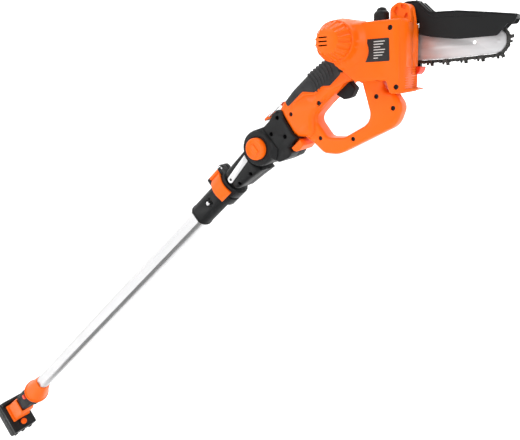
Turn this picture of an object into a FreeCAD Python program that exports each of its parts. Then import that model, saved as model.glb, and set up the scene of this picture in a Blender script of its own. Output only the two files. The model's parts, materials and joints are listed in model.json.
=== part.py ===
"""Telescoping pole saw: a battery mini chainsaw latched to a two-stage aluminium pole.

Millimetres, +Z up. The origin is on the axis of the lower tube where the front hand holds it.
The pole rises towards +X at POLE_RISE degrees, the guide bar points along +X, and the motor is on
the -Y side. Pole pieces are drawn in a pole frame: x runs up the pole with zero at the knuckle
pivot, z is square to it on the upper side. Saw pieces are drawn upright, also from the pivot.
"""
import FreeCAD, Part
import math
import os

V = FreeCAD.Vector

# ---- overall -------------------------------------------------------------------------------
POLE_RISE = 40.6          # angle of the pole above the horizontal, degrees
GRIP_TO_PIVOT = 640.0     # from the origin up the pole to the knuckle pivot
RUN_GAP = 0.05            # radial clearance of a turning fit
MOVE_GAP = 0.3            # clearance between bodies that move past each other

# ---- pole tubes (a round section with two flats, like a double D) ----------------------------
TUBE_R = 18.0
TUBE_FLAT = 15.5
TUBE_WALL = 1.5
TUBE_BOTTOM = -1165.0
TUBE_TOP = -112.0
INNER_GAP = 0.5           # between the lower tube's bore and the inner tube
INNER_WALL = 1.5
INNER_BOTTOM = -870.0
INNER_TOP = -36.0
KEY_HALF = 6.3            # half width of the groove pressed into the inner tube's near flat
KEY_DEPTH = 5.0

# ---- coupling sleeve, snap button and clamp ---------------------------------------------------
SLEEVE_WALL = 3.2
SLEEVE_BOTTOM = -206.0
CLAMP_BOTTOM = -133.0
CLAMP_TOP = -94.0
SNAP_X = -160.0
SNAP_R = 4.0
SNAP_PROUD = 3.4
BAND_R = 24.6
CAM_Y = -13.0             # cam lever hinge, parallel to the pole
CAM_Z = 29.0
CAM_BARREL_R = 3.9
CAM_PIN_R = 1.8
CAM_LENGTH = 26.0
LEVER_THICK = 4.7
LEVER_OFF = 0.7           # between the band and the closed lever
EAR_LONG = 6.0            # each cam ear, along the pole
CLAMP_BOLT_X = CLAMP_TOP - 8.0
CLAMP_BOLT_Z = 33.0
CLAMP_BOLT_R = 2.5
CLAMP_HEAD_R = 4.5

# ---- rear handle, battery seat and battery ----------------------------------------------------
COLLAR_TOP = -1085.0
COLLAR_RIM = -1149.0
COLLAR_TOP_R = 19.4
COLLAR_RIM_R = 34.0
COLLAR_DROP = 4.5         # how far the rim's centre lies below the tube's axis
COLLAR_STEP = 2.0
COLLAR_WALL = 3.0
COLLAR_END = -1158.0
GRIP_END = -1258.0
GRIP_DEEP = 22.5          # half size of the rear grip, in z
GRIP_WIDE = 19.0          # half size in y
SHELL_WALL = 2.8
SEAT_FACE = -1336.0       # plane where the battery meets its seat
SEAT_WIDE = 21.5
SEAT_PLATE = 11.0
SEAT_PLATE_WIDE = 26.0
RAIL_LIP = 3.2            # thickness of the seat's lips that hold the rail head
RAIL_DEEP = 7.0
RAIL_HEAD = 19.0
RAIL_NECK = 15.0
PACK_LONG = 102.0
PACK_WIDE = 72.0
PACK_DEEP = 50.0
PACK_FRONT = -62.0
PACK_LID = 15.0
CELL_R = 9.2
CELL_LONG = 65.0
CELL_COUNT = 5
PACK_BUTTON_R = 9.0
PACK_BUTTON_Z = -43.0
PACK_BUTTON_PROUD = 6.0
PACK_WALL = 3.0
BUTTON_TRAVEL = 3.0
POLE_TRIGGER_X = -1187.0
POLE_TRIGGER_HALF = 17.0
POLE_TRIGGER_WIDE = 7.0
POLE_LOCK_X = -1197.0
POLE_LOCK_Z = 4.0
POLE_LOCK_R = 7.0

# ---- knuckle ----------------------------------------------------------------------------------
TONGUE_HALF = 14.0        # half thickness of the lower housing's tongue
TONGUE_R = 27.5
CHEEK_R = 28.7
CHEEK_OUT = 30.0          # outer face of each cheek
SLOT_GAP = 4.8            # between the tongue and the bottom of the adapter's slot
ADAPTER_WIDE = 25.0       # half width of the adapter beyond the cheeks
JOINT_WIDE = 26.0         # half width of the lower joint housing
PIVOT_R = 5.0
PIVOT_HEAD_R = 9.0
KNOB_R = 17.5
KNOB_PROUD = 8.5          # knob face beyond the cheek
KNOB_SUNK = 5.0
LOCK_RING_R = 16.9
BUTTON_ROOF = -33.5       # adapter's underside above the release button
BUTTON_STEM = 10.0        # half width of the stem that guides it
BUTTON_WIDE = 20.5
JOINT_SCREW_SEAT = -16.0
JOINT_SCREW_LONG = 12.4
ADAPTER_SCREW_SEAT = -15.0
STRIP_HALF = 5.6
STRIP_PROUD = 0.6
STRIP_SUNK = 1.2

# ---- saw ---------------------------------------------------------------------------------------
HOUSING_NEAR = -36.0
HOUSING_FAR = 22.0
HOUSING_TOP = 172.0
HOUSING_FRONT = 239.0
HOUSING_FOOT = 80.0
HOUSING_WALL = 3.0
CORNER_X = 6.0            # slope that takes off the housing's near front corner
CORNER_Y = 12.0
HANDLE_WIDE = 21.0        # half width of the saw's grip
LOOP_WIDE = 14.0          # half width of the D handle
LOOP_ROUND = 7.0
OPENING_ROUND = 5.0
RUBBER_THICK = 2.0
MOTOR_X = 153.0
MOTOR_Z = 150.0
MOTOR_BASE_R = 29.5
MOTOR_FLARE_R = 38.0      # where the barrel runs out into the housing's near face
MOTOR_FLARE_Y = -50.0
MOTOR_CAP_R = 25.5
MOTOR_END_R = 19.0
MOTOR_CAP_Y = -59.0
MOTOR_END_Y = -79.0
MOTOR_CAN_R = 18.0
MOTOR_SHAFT_R = 2.5
CAP_FLUTE_R = 3.6
CAP_FLUTES = 16
SPINDLE_X = 195.0
SPINDLE_Z = 137.0
SPINDLE_R = 4.0
PINION_TEETH = 24
GEAR_TEETH = 54
BEARING_R = 11.0
SPROCKET_R = 11.0
BAR_Y = 28.0
BAR_THICK = 3.0
BAR_Z = 138.0
BAR_HALF = 17.5
NOSE_X = 333.0
NOSE_R = 14.0
NOSE_PIN_R = 3.0
CHAIN_WIDE = 5.6
CHAIN_HIGH = 5.6
CHAIN_SIT = 0.2
STUD_X = 222.0
STUD_R = 3.0
GUARD_X = 226.0
GUARD_Z = 180.0
GUARD_PIN_R = 3.0
GUARD_IN = 14.0           # half width inside the guard's channel
GUARD_WALL = 2.2
GUARD_PIN_IN = -10.0      # blind end of the guard pin's hole in the ear
CAP_X = 195.0
CAP_R = 10.5
CAP_SKIRT = 13.5          # height of the oil cap's gripped skirt
CAP_DOME = 6.0
TRIGGER_TRAVEL = 6.0
TRIGGER_HALF = 8.0
LOCK_OFF_AT = 185.5       # lock-off button, along and square to the pole
LOCK_OFF_DOWN = -8.0
LOCK_OFF_R = 4.4
LATCH_X = 50.0            # latch lever hinge, along and square to the pole
LATCH_Z = 25.5
LATCH_PIN_R = 1.5
BAIL_X = 42.0
BAIL_Z = 28.5
BAIL_WIRE_R = 1.1
BAIL_HALF = 10.5
BAIL_LONG = 35.0
SCREW_HEAD_R = 3.4
SCREW_SHANK_R = 1.6
SCREW_HEAD_HIGH = 2.4
CASE_SCREW_SEAT = 5.0     # depth of the screw seats below the casing's face
CASE_SCREW_LONG = 6.0

# ---- sizes worked out from the ones above ---------------------------------------------------
INNER_R = TUBE_R - TUBE_WALL - INNER_GAP
INNER_FLAT = TUBE_FLAT - TUBE_WALL - INNER_GAP
SLEEVE_R = TUBE_R + SLEEVE_WALL
SLEEVE_FLAT = TUBE_FLAT + SLEEVE_WALL
GEAR_GAP_X = SPINDLE_X - MOTOR_X
GEAR_GAP_Z = SPINDLE_Z - MOTOR_Z
GEAR_CENTRES = math.hypot(GEAR_GAP_X, GEAR_GAP_Z)
GEAR_MODULE = 2.0 * GEAR_CENTRES / (PINION_TEETH + GEAR_TEETH)


# ================================ drawing helpers ==============================================
def box(x0, x1, y0, y1, z0, z1):
    return Part.makeBox(x1 - x0, y1 - y0, z1 - z0, V(x0, y0, z0))


def rod_y(x, z, radius, y0, y1):
    return Part.makeCylinder(radius, y1 - y0, V(x, y0, z), V(0, 1, 0))


def rod_x(y, z, radius, x0, x1):
    return Part.makeCylinder(radius, x1 - x0, V(x0, y, z), V(1, 0, 0))


def rod_z(x, y, radius, z0, z1):
    return Part.makeCylinder(radius, z1 - z0, V(x, y, z0), V(0, 0, 1))


def cone_y(x, z, radius0, radius1, y0, y1):
    return Part.makeCone(radius0, radius1, y1 - y0, V(x, y0, z), V(0, 1, 0))


def join(shapes):
    return shapes[0].multiFuse(shapes[1:]).removeSplitter()


def group(shapes):
    return Part.makeCompound(shapes)


def outline(corners):
    """Closed wire in the XZ plane from corners (x, z) or (x, z, rounding radius)."""
    count = len(corners)
    starts = []
    ends = []
    mids = []
    for i in range(count):
        here = V(corners[i][0], 0, corners[i][1])
        radius = corners[i][2] if len(corners[i]) > 2 else 0.0
        before = V(corners[i - 1][0], 0, corners[i - 1][1]) - here
        after = V(corners[(i + 1) % count][0], 0, corners[(i + 1) % count][1]) - here
        to_before = before.normalize()
        to_after = after.normalize()
        half = to_before.getAngle(to_after) / 2.0
        if radius == 0.0 or half > math.pi / 2 - 0.01:
            starts.append(here)
            ends.append(here)
            mids.append(None)
            continue
        back = radius / math.tan(half)
        middle = (to_before + to_after).normalize()
        starts.append(here + to_before * back)
        ends.append(here + to_after * back)
        mids.append(here + middle * (radius / math.sin(half) - radius))
    edges = []
    for i in range(count):
        if mids[i] is not None:
            edges.append(Part.Arc(starts[i], mids[i], ends[i]).toShape())
        following = starts[(i + 1) % count]
        if ends[i].distanceToPoint(following) > 1e-4:
            edges.append(Part.LineSegment(ends[i], following).toShape())
    return Part.Wire(edges)


def prism(corners, y0, y1, inset=0.0):
    """Side outline pulled out along Y from y0 to y1, with its edge moved inwards by inset."""
    face = Part.Face(outline(corners))
    if inset:
        face = face.makeOffset2D(-inset)
    face.translate(V(0, y0, 0))
    solid = face.extrude(V(0, y1 - y0, 0))
    return solid.Solids[0]


def soft_prism(corners, y0, y1, radius, inset=0.0):
    """A prism with its two flat faces' edges rounded."""
    solid = prism(corners, y0, y1, inset)
    rims = []
    for edge in solid.Edges:
        bounds = edge.BoundBox
        if bounds.YLength < 1e-3 and (abs(bounds.YMin - y0) < 1e-3 or abs(bounds.YMax - y1) < 1e-3):
            rims.append(edge)
    return solid.makeFillet(radius, rims)


def spin_y(x, z, profile):
    """Solid of revolution about the Y line through (x, z); profile is (radius, y) points."""
    points = [V(x + r, y, z) for r, y in profile]
    points.append(points[0])
    face = Part.Face(Part.makePolygon(points))
    return face.revolve(V(x, 0, z), V(0, 1, 0), 360)


def double_d(radius, flat, x0, x1):
    """Round bar along the pole with flats at y = -flat and y = +flat."""
    return rod_x(0, 0, radius, x0, x1).common(box(x0, x1, -flat, flat, -radius, radius))


def screw_y(x, z, head_y, length):
    """Cross-slot screw driven from the near side, towards +Y."""
    neck = head_y + SCREW_HEAD_HIGH
    head = rod_y(x, z, SCREW_HEAD_R, head_y, neck)
    shank = rod_y(x, z, SCREW_SHANK_R, neck, neck + length)
    reach = 0.6 * SCREW_HEAD_R
    half = 0.4
    deep = SCREW_HEAD_HIGH / 2.0
    slot_a = box(x - reach, x + reach, head_y, head_y + deep, z - half, z + half)
    slot_b = box(x - half, x + half, head_y, head_y + deep, z - reach, z + reach)
    return head.fuse(shank).removeSplitter().cut(slot_a).cut(slot_b)


def screw_room(x, z, seat_y, end_y):
    """Counterbore and hole for a screw whose head's underside is at seat_y."""
    return rod_y(x, z, SCREW_HEAD_R, -90, seat_y).fuse(rod_y(x, z, SCREW_SHANK_R, seat_y, end_y))


def hexagon(x, z, reach, y0, y1):
    corners = []
    for i in range(6):
        angle = math.radians(60 * i)
        corners.append((x + reach * math.cos(angle), z + reach * math.sin(angle)))
    return prism(corners, y0, y1)


def halves(solid, near):
    """The near (-Y) or far (+Y) half of a casing."""
    big = 900.0
    low = -big if near else 0.0
    return solid.common(box(-big * 2, big, low, low + big, -big, big))


def along(s, t):
    """Saw-frame (x, z) of a point given along and square to the pole."""
    rise = math.radians(POLE_RISE)
    return (s * math.cos(rise) - t * math.sin(rise), s * math.sin(rise) + t * math.cos(rise))


def along_corners(corners):
    """Pole-frame corners turned into saw-frame corners, rounding kept."""
    return [along(c[0], c[1]) + tuple(c[2:]) for c in corners]


def tilt(shape):
    """Turn a shape drawn along the pole into the saw frame."""
    turned = shape.copy()
    turned.rotate(V(0, 0, 0), V(0, 1, 0), -POLE_RISE)
    return turned


def to_row(shape):
    """Move a saw-frame shape so that the row origin is at the grip."""
    rise = math.radians(POLE_RISE)
    moved = shape.copy()
    moved.translate(V(GRIP_TO_PIVOT * math.cos(rise), 0, GRIP_TO_PIVOT * math.sin(rise)))
    return moved


# ================================ lower tube and rear handle ==================================
def lower_tube():
    tube = double_d(TUBE_R, TUBE_FLAT, TUBE_BOTTOM, TUBE_TOP)
    bore = double_d(TUBE_R - TUBE_WALL, TUBE_FLAT - TUBE_WALL, TUBE_BOTTOM, TUBE_TOP)
    hole = rod_y(SNAP_X, 0, SNAP_R + MOVE_GAP, -TUBE_R, 0)
    return tube.cut(bore).cut(hole)


def collar_ring(radius, drop, x):
    return Part.Wire(Part.Circle(V(x, 0, -drop), V(1, 0, 0), radius).toShape())


def hand_guard_collar():
    """Skirt that flares from the tube to a rim, with a second smaller step behind it."""
    rim_r = COLLAR_RIM_R
    small = collar_ring(COLLAR_TOP_R, 0, COLLAR_TOP)
    large = collar_ring(rim_r - COLLAR_STEP, COLLAR_DROP, COLLAR_RIM)
    skirt = Part.makeLoft([small, large], True, True)
    rim = rod_x(0, -COLLAR_DROP, rim_r, COLLAR_RIM - 5, COLLAR_RIM)
    step = rod_x(0, -COLLAR_DROP, rim_r - COLLAR_STEP, COLLAR_END, COLLAR_RIM - 5)
    bore_r = TUBE_R + COLLAR_WALL
    mouth_r = rim_r - COLLAR_STEP - COLLAR_WALL
    inner = [collar_ring(bore_r, 0, COLLAR_TOP - 20), collar_ring(mouth_r, COLLAR_DROP, COLLAR_RIM)]
    mouth = rod_x(0, -COLLAR_DROP, mouth_r, COLLAR_END - 1, COLLAR_RIM)
    hollow = Part.makeLoft(inner, True, True).fuse(mouth)
    hub = rod_x(0, 0, bore_r, COLLAR_END, COLLAR_TOP - 20)
    webs = box(COLLAR_RIM, COLLAR_TOP - 10, -1.5, 1.5, -mouth_r, mouth_r - COLLAR_DROP)
    body = join([skirt, rim, step]).cut(hollow)
    body = join([body, hub, webs.common(skirt)])
    return body.cut(double_d(TUBE_R, TUBE_FLAT, COLLAR_END - 5, COLLAR_TOP + 5))


def rear_grip_corners():
    swell = GRIP_DEEP + 1.5
    middle = (GRIP_END + COLLAR_END) / 2.0
    return [(GRIP_END, -GRIP_DEEP, 6), (GRIP_END, GRIP_DEEP, 6), (middle, swell, 60),
            (COLLAR_END, GRIP_DEEP - 1.5, 3), (COLLAR_END, -GRIP_DEEP + 1.5, 3), (middle, -swell, 40)]


def rear_grip(near):
    outside = soft_prism(rear_grip_corners(), -GRIP_WIDE, GRIP_WIDE, 11)
    reach = GRIP_WIDE - SHELL_WALL
    cavity = soft_prism(rear_grip_corners(), -reach, reach, 8, SHELL_WALL)
    room = double_d(TUBE_R, TUBE_FLAT, TUBE_BOTTOM, COLLAR_END + 5)
    reach_x = POLE_TRIGGER_HALF + MOVE_GAP
    reach_y = POLE_TRIGGER_WIDE + MOVE_GAP
    for_trigger = box(POLE_TRIGGER_X - reach_x, POLE_TRIGGER_X + reach_x, -reach_y, reach_y, -60, 0)
    for_lock = rod_y(POLE_LOCK_X, POLE_LOCK_Z, POLE_LOCK_R + MOVE_GAP, -60, 0)
    return halves(outside.cut(cavity).cut(room).cut(for_trigger).cut(for_lock), near)


def rear_grip_screws():
    places = [(COLLAR_END - 13, 15), (GRIP_END + 17, 16), (GRIP_END + 14, -14)]
    return group([screw_y(x, z, -GRIP_WIDE + SHELL_WALL - SCREW_HEAD_HIGH, 10) for x, z in places])


def rear_grip_with_screw_room(near):
    shell = rear_grip(near)
    for screw in rear_grip_screws().Solids:
        room = screw.BoundBox
        shell = shell.cut(screw_room(room.Center.x, room.Center.z, room.YMin + SCREW_HEAD_HIGH, room.YMax))
    return shell


def pole_trigger():
    x = POLE_TRIGGER_X
    half = POLE_TRIGGER_HALF
    corners = [(x - half, -13), (x - half, -30, 5), (x - 4, -33, 14), (x + half - 4, -29, 8),
               (x + half, -16, 3), (x + half, -13)]
    return soft_prism(corners, -POLE_TRIGGER_WIDE, POLE_TRIGGER_WIDE, 2.5)


def pole_lock_button():
    cap = rod_y(POLE_LOCK_X, POLE_LOCK_Z, POLE_LOCK_R, -GRIP_WIDE - 4, -10)
    return cap.makeFillet(2.0, [edge for edge in cap.Edges if edge.BoundBox.YMax < -GRIP_WIDE])


def pole_switch():
    body = box(-1222, -1168, -6.3, 6.3, -6.5, 7)
    plunger = box(-1190, -1182, -3, 3, -7.5, -6.5)
    return join([body, plunger])


def battery_seat():
    """Block below the grip whose lips hold the battery's rail."""
    top = GRIP_END
    low = -GRIP_DEEP - 6.0
    stem = soft_prism([(SEAT_FACE, low), (SEAT_FACE, GRIP_DEEP), (top, GRIP_DEEP - 3, 8),
                       (top, -GRIP_DEEP, 8), (top - 16, low, 14)], -SEAT_WIDE, SEAT_WIDE, 5)
    plate = soft_prism([(SEAT_FACE, low - 2, 1), (SEAT_FACE, GRIP_DEEP + 1, 1),
                        (SEAT_FACE + SEAT_PLATE, GRIP_DEEP + 1, 3), (SEAT_FACE + SEAT_PLATE, low - 2, 3)],
                       -SEAT_PLATE_WIDE, SEAT_PLATE_WIDE, 2)
    deep = SEAT_FACE + RAIL_DEEP + MOVE_GAP
    neck = RAIL_NECK + MOVE_GAP
    head = RAIL_HEAD + MOVE_GAP
    rail = box(SEAT_FACE, deep, -neck, neck, low - 3, GRIP_DEEP + 2)
    wide = box(SEAT_FACE + RAIL_LIP, deep, -head, head, low - 3, GRIP_DEEP - 2.5)
    half = SEAT_WIDE - SHELL_WALL
    inside = box(deep + SHELL_WALL, top, -half, half, low + 6, GRIP_DEEP - 6)
    return join([stem, plate]).cut(rail).cut(wide).cut(inside)


# ================================ battery =======================================================
def pack_split():
    """Where the battery's case ends and its lid starts."""
    return SEAT_FACE - 1 - PACK_LID


def battery_case():
    split = pack_split()
    half = PACK_WIDE / 2.0
    x0 = SEAT_FACE - PACK_DEEP
    back = PACK_FRONT + PACK_LONG
    corners = [(x0, PACK_FRONT, 9), (x0, back, 12), (split, back), (split, PACK_FRONT)]
    outside = soft_prism(corners, -half, half, 5)
    wall = PACK_WALL
    return outside.cut(box(x0 + wall, split, -half + wall, half - wall, PACK_FRONT + wall, back - wall))


def battery_lid():
    split = pack_split()
    half = PACK_WIDE / 2.0
    wall = PACK_WALL
    back = PACK_FRONT + PACK_LONG
    top = SEAT_FACE - MOVE_GAP
    corners = [(split, PACK_FRONT), (split, back), (top, back, 2), (top, PACK_FRONT, 6)]
    cover = soft_prism(corners, -half, half, 3)
    hump = soft_prism([(top - 6, back - 14, 1), (top - 6, back, 1), (top + 12, back - 1, 6),
                       (top + 13, back - 12, 4)], -half + 2, half - 2, 3)
    boss = rod_x(0, PACK_BUTTON_Z, PACK_BUTTON_R + wall, top - 4, top + PACK_BUTTON_PROUD - 3)
    under = SEAT_FACE + RAIL_LIP + MOVE_GAP
    neck = box(top - 2, under, -RAIL_NECK, RAIL_NECK, -28, GRIP_DEEP - 4)
    head = box(under, SEAT_FACE + RAIL_DEEP, -RAIL_HEAD, RAIL_HEAD, -28, GRIP_DEEP - 4)
    clear = box(top, top + 20, -SEAT_PLATE_WIDE - 1, SEAT_PLATE_WIDE + 1, -GRIP_DEEP - 8.0 - MOVE_GAP, 0)
    body = join([cover, hump, boss.cut(clear), neck, head])
    inside = box(split, top - 4, -half + wall, half - wall, PACK_FRONT + wall, back - wall)
    slots = [box(SEAT_FACE, SEAT_FACE + 30, y - 0.8, y + 0.8, -9, 9) for y in (-11, -4, 4, 11)]
    pocket = rod_x(0, PACK_BUTTON_Z, PACK_BUTTON_R + MOVE_GAP, split - 1, top + 20)
    return body.cut(inside).cut(pocket).cut(group(slots))


def battery_cells():
    pitch = 2 * CELL_R + 0.4
    first = PACK_FRONT + PACK_LONG / 2.0 - pitch * (CELL_COUNT - 1) / 2.0
    x = SEAT_FACE - PACK_DEEP + PACK_WALL + CELL_R + 6
    cells = []
    for i in range(CELL_COUNT):
        cells.append(rod_y(x, first + i * pitch, CELL_R, -CELL_LONG / 2, CELL_LONG / 2))
    return group(cells)


def battery_button():
    top = SEAT_FACE - MOVE_GAP + PACK_BUTTON_PROUD
    cap = rod_x(0, PACK_BUTTON_Z, PACK_BUTTON_R, SEAT_FACE - 10, top)
    cap = cap.makeFillet(1.6, [edge for edge in cap.Edges if abs(edge.BoundBox.XMin - top) < 1e-3
                               and edge.BoundBox.XLength < 1e-3])
    dish = rod_x(0, PACK_BUTTON_Z, PACK_BUTTON_R - 3, top - 0.8, top)
    return cap.cut(dish)


# ================================ sleeve, snap button and clamp ================================
def coupling_sleeve():
    tube = double_d(SLEEVE_R, SLEEVE_FLAT, SLEEVE_BOTTOM, CLAMP_BOTTOM)
    lip = double_d(SLEEVE_R + 0.8, SLEEVE_FLAT + 0.8, SLEEVE_BOTTOM, SLEEVE_BOTTOM + 4)
    hole = rod_y(SNAP_X, 0, SNAP_R + 2.6, -40, 0)
    slot = box(SNAP_X, SNAP_X + 9, -40, 0, -SNAP_R - 2.6, SNAP_R + 2.6)
    bore = double_d(TUBE_R, TUBE_FLAT, SLEEVE_BOTTOM - 1, CLAMP_BOTTOM + 1)
    return join([tube, lip]).cut(bore).cut(hole).cut(slot)


def snap_button():
    inside = -TUBE_FLAT + TUBE_WALL + 0.1
    stem = rod_y(SNAP_X, 0, SNAP_R, -SLEEVE_FLAT - SNAP_PROUD, inside)
    dome = [edge for edge in stem.Edges if edge.BoundBox.YMax < -SLEEVE_FLAT]
    stem = stem.makeFillet(1.8, dome)
    base = rod_y(SNAP_X, 0, SNAP_R + 1.4, inside, inside + 1.0)
    return join([stem, base])


def snap_spring():
    y = -TUBE_FLAT + TUBE_WALL
    blade = box(SNAP_X - 46, SNAP_X - 8, y, y + 0.6, -3, 3)
    foot = box(SNAP_X - 46, SNAP_X - 40, y + 0.6, y + 2.6, -3, 3)
    return join([blade, foot])


def clamp_band():
    ring = rod_x(0, 0, BAND_R, CLAMP_BOTTOM, CLAMP_TOP)
    lower = box(CLAMP_BOTTOM, CLAMP_TOP, -16, 40, -40, -8)
    ribs = [rod_x(0, 0, BAND_R + 2.6, x, x + 16).common(lower) for x in (CLAMP_BOTTOM + 1, CLAMP_TOP - 17)]
    ears = []
    for x0 in (CLAMP_BOTTOM, CLAMP_TOP - EAR_LONG):
        ears.append(rod_x(CAM_Y, CAM_Z, CAM_BARREL_R, x0, x0 + EAR_LONG))
        ears.append(box(x0, x0 + EAR_LONG, CAM_Y - CAM_BARREL_R, 0, 18, CAM_Z))
    lug = soft_prism([(CLAMP_TOP - 15, 18), (CLAMP_TOP - 15, 38, 6), (CLAMP_TOP, 40, 8), (CLAMP_TOP, 18)],
                     -6.5, 13, 2)
    body = join([ring] + ribs + ears + [lug])
    slit = box(CLAMP_BOTTOM - 1, CLAMP_TOP + 1, 2.5, 4.0, 10, 60)
    shank = rod_y(CLAMP_BOLT_X, CLAMP_BOLT_Z, CLAMP_BOLT_R, -4, 30)
    head = rod_y(CLAMP_BOLT_X, CLAMP_BOLT_Z, CLAMP_HEAD_R, -6.6, -3.5)
    pin = rod_x(CAM_Y, CAM_Z, CAM_PIN_R, CLAMP_BOTTOM - 1, CLAMP_TOP + 1)
    bore = double_d(TUBE_R, TUBE_FLAT, CLAMP_BOTTOM - 1, CLAMP_TOP + 1)
    return body.cut(bore).cut(slit).cut(shank.fuse(head)).cut(pin)


def clamp_bolt():
    shank = rod_y(CLAMP_BOLT_X, CLAMP_BOLT_Z, CLAMP_BOLT_R, -3.5, 16)
    head = rod_y(CLAMP_BOLT_X, CLAMP_BOLT_Z, CLAMP_HEAD_R, -6.5, -3.5)
    nut = hexagon(CLAMP_BOLT_X, CLAMP_BOLT_Z, CLAMP_HEAD_R + 0.1, 13, 17)
    return join([shank, head, nut])


def guide_bush():
    body = double_d(TUBE_R, TUBE_FLAT, TUBE_TOP, CLAMP_TOP)
    rim = double_d(TUBE_R + 2.5, TUBE_FLAT + 2.5, CLAMP_TOP, CLAMP_TOP + 2)
    bore = double_d(INNER_R + 0.1, INNER_FLAT + 0.1, TUBE_TOP - 1, CLAMP_TOP + 3)
    return join([body, rim]).cut(bore)


def cam_lever():
    x0 = (CLAMP_BOTTOM + CLAMP_TOP - CAM_LENGTH) / 2.0
    x1 = x0 + CAM_LENGTH
    barrel = rod_x(CAM_Y, CAM_Z, CAM_BARREL_R, x0, x1)
    inner = BAND_R + LEVER_OFF
    room = rod_x(0, 0, inner, x0 - 2, x1 + 2)
    plate = rod_x(0, 0, inner + LEVER_THICK, x0, x1).cut(room)
    wedge = [V(0, 0, 0), V(0, -17, 45), V(0, -60, 40), V(0, -60, -37), V(0, 0, 0)]
    sector = Part.Face(Part.makePolygon(wedge))
    sector.translate(V(x0, 0, 0))
    plate = plate.common(sector.extrude(V(CAM_LENGTH, 0, 0)))
    tip_y = -inner * 0.85
    tip = box(x0 + 2, x1 - 2, tip_y - 7, tip_y - 1.5, -20, -12)
    lever = join([barrel, plate, tip.cut(room)])
    around = CAM_BARREL_R + 2 * MOVE_GAP
    for ear_x in (CLAMP_BOTTOM, CLAMP_TOP - EAR_LONG):
        lever = lever.cut(rod_x(CAM_Y, CAM_Z, around, ear_x - MOVE_GAP, ear_x + EAR_LONG + MOVE_GAP))
    return lever.cut(rod_x(CAM_Y, CAM_Z, CAM_PIN_R + RUN_GAP, x0 - 1, x1 + 1))


def cam_pin():
    return rod_x(CAM_Y, CAM_Z, CAM_PIN_R, CLAMP_BOTTOM, CLAMP_TOP)


# ================================ inner tube and lower joint housing ===========================
def inner_tube():
    tube = double_d(INNER_R, INNER_FLAT, INNER_BOTTOM, INNER_TOP)
    bore = double_d(INNER_R - INNER_WALL, INNER_FLAT - INNER_WALL, INNER_BOTTOM, INNER_TOP)
    key = box(INNER_BOTTOM - 1, INNER_TOP + 1, -INNER_R - 1, -INNER_FLAT + KEY_DEPTH, -KEY_HALF, KEY_HALF)
    around = box(INNER_BOTTOM - 1, INNER_TOP + 1, -INNER_R - 1, -INNER_FLAT + KEY_DEPTH + INNER_WALL,
                 -KEY_HALF - INNER_WALL, KEY_HALF + INNER_WALL)
    return tube.cut(bore.cut(around)).cut(key)


def inner_end_plug():
    shrink = INNER_WALL + 0.1
    plug = double_d(INNER_R - shrink, INNER_FLAT - shrink, INNER_BOTTOM, INNER_BOTTOM + 14)
    around = box(INNER_BOTTOM - 1, INNER_BOTTOM + 20, -INNER_R, -INNER_FLAT + KEY_DEPTH + INNER_WALL + 0.1,
                 -KEY_HALF - INNER_WALL - 0.1, KEY_HALF + INNER_WALL + 0.1)
    rim = double_d(INNER_R, INNER_FLAT, INNER_BOTTOM - 3, INNER_BOTTOM)
    key = box(INNER_BOTTOM - 4, INNER_BOTTOM + 1, -INNER_R - 1, -INNER_FLAT + KEY_DEPTH, -KEY_HALF, KEY_HALF)
    return join([plug.cut(around), rim.cut(key)])


def joint_corners():
    return [(-88, -21.5, 9), (-88, 15, 9), (-24, 17), (-24, -28), (-50, -25, 30)]


def knuckle_sweep():
    """Room for the adapter's cheeks to turn in."""
    return rod_y(0, 0, CHEEK_R + 2.0, -60, 60)


def joint_body():
    shoulders = soft_prism(joint_corners(), -JOINT_WIDE, JOINT_WIDE, 8)
    arm_corners = [(-60, -23), (-60, 15), (-30, 17), (-8, 26), (-8, -26.2, 3), (-22, -22.5)]
    arm = prism(arm_corners, -TONGUE_HALF, TONGUE_HALF)
    tongue = rod_y(0, 0, TONGUE_R, -TONGUE_HALF, TONGUE_HALF)
    ridges = [box(-82 + 9 * i, -78 + 9 * i, -12, 12, 12, 18.6) for i in range(5)]
    body = join([shoulders.cut(knuckle_sweep()), arm, tongue] + ridges)
    socket = double_d(INNER_R, INNER_FLAT, -100, INNER_TOP)
    inside = prism(joint_corners(), -JOINT_WIDE + 5, JOINT_WIDE - 5, 5)
    inside = inside.common(box(-34, -24, -30, 30, -20, 11))
    pivot = rod_y(0, 0, PIVOT_R + RUN_GAP, -60, 60)
    ring_room = rod_y(0, 0, LOCK_RING_R + 0.6, -TONGUE_HALF - 1, -TONGUE_HALF + 6.5)
    strip_room = strip_outline(-JOINT_WIDE - 5, -JOINT_WIDE + STRIP_SUNK)
    return body.cut(socket).cut(inside.cut(knuckle_sweep())).cut(pivot).cut(ring_room).cut(strip_room)


def strip_outline(y0, y1):
    half = STRIP_HALF
    end = half - 0.4
    return prism([(-88, -3 - half, end), (-88, -3 + half, end), (-26, 4.5 + half), (-26, 4.5 - half)], y0, y1)


def side_strip():
    strip = strip_outline(-JOINT_WIDE - STRIP_PROUD, -JOINT_WIDE + STRIP_SUNK)
    return strip.cut(knuckle_sweep()).cut(rod_y(-82, -2.6, 2.4, -60, 0))


def joint_screw_places():
    return [(-72, -18), (-42, -20)]


def joint_housing(near):
    shell = halves(joint_body(), near)
    for x, z in joint_screw_places():
        shell = shell.cut(screw_room(x, z, JOINT_SCREW_SEAT, JOINT_SCREW_SEAT + JOINT_SCREW_LONG))
    return shell


def joint_screws():
    head_y = JOINT_SCREW_SEAT - SCREW_HEAD_HIGH
    return group([screw_y(x, z, head_y, JOINT_SCREW_LONG) for x, z in joint_screw_places()])


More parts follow.
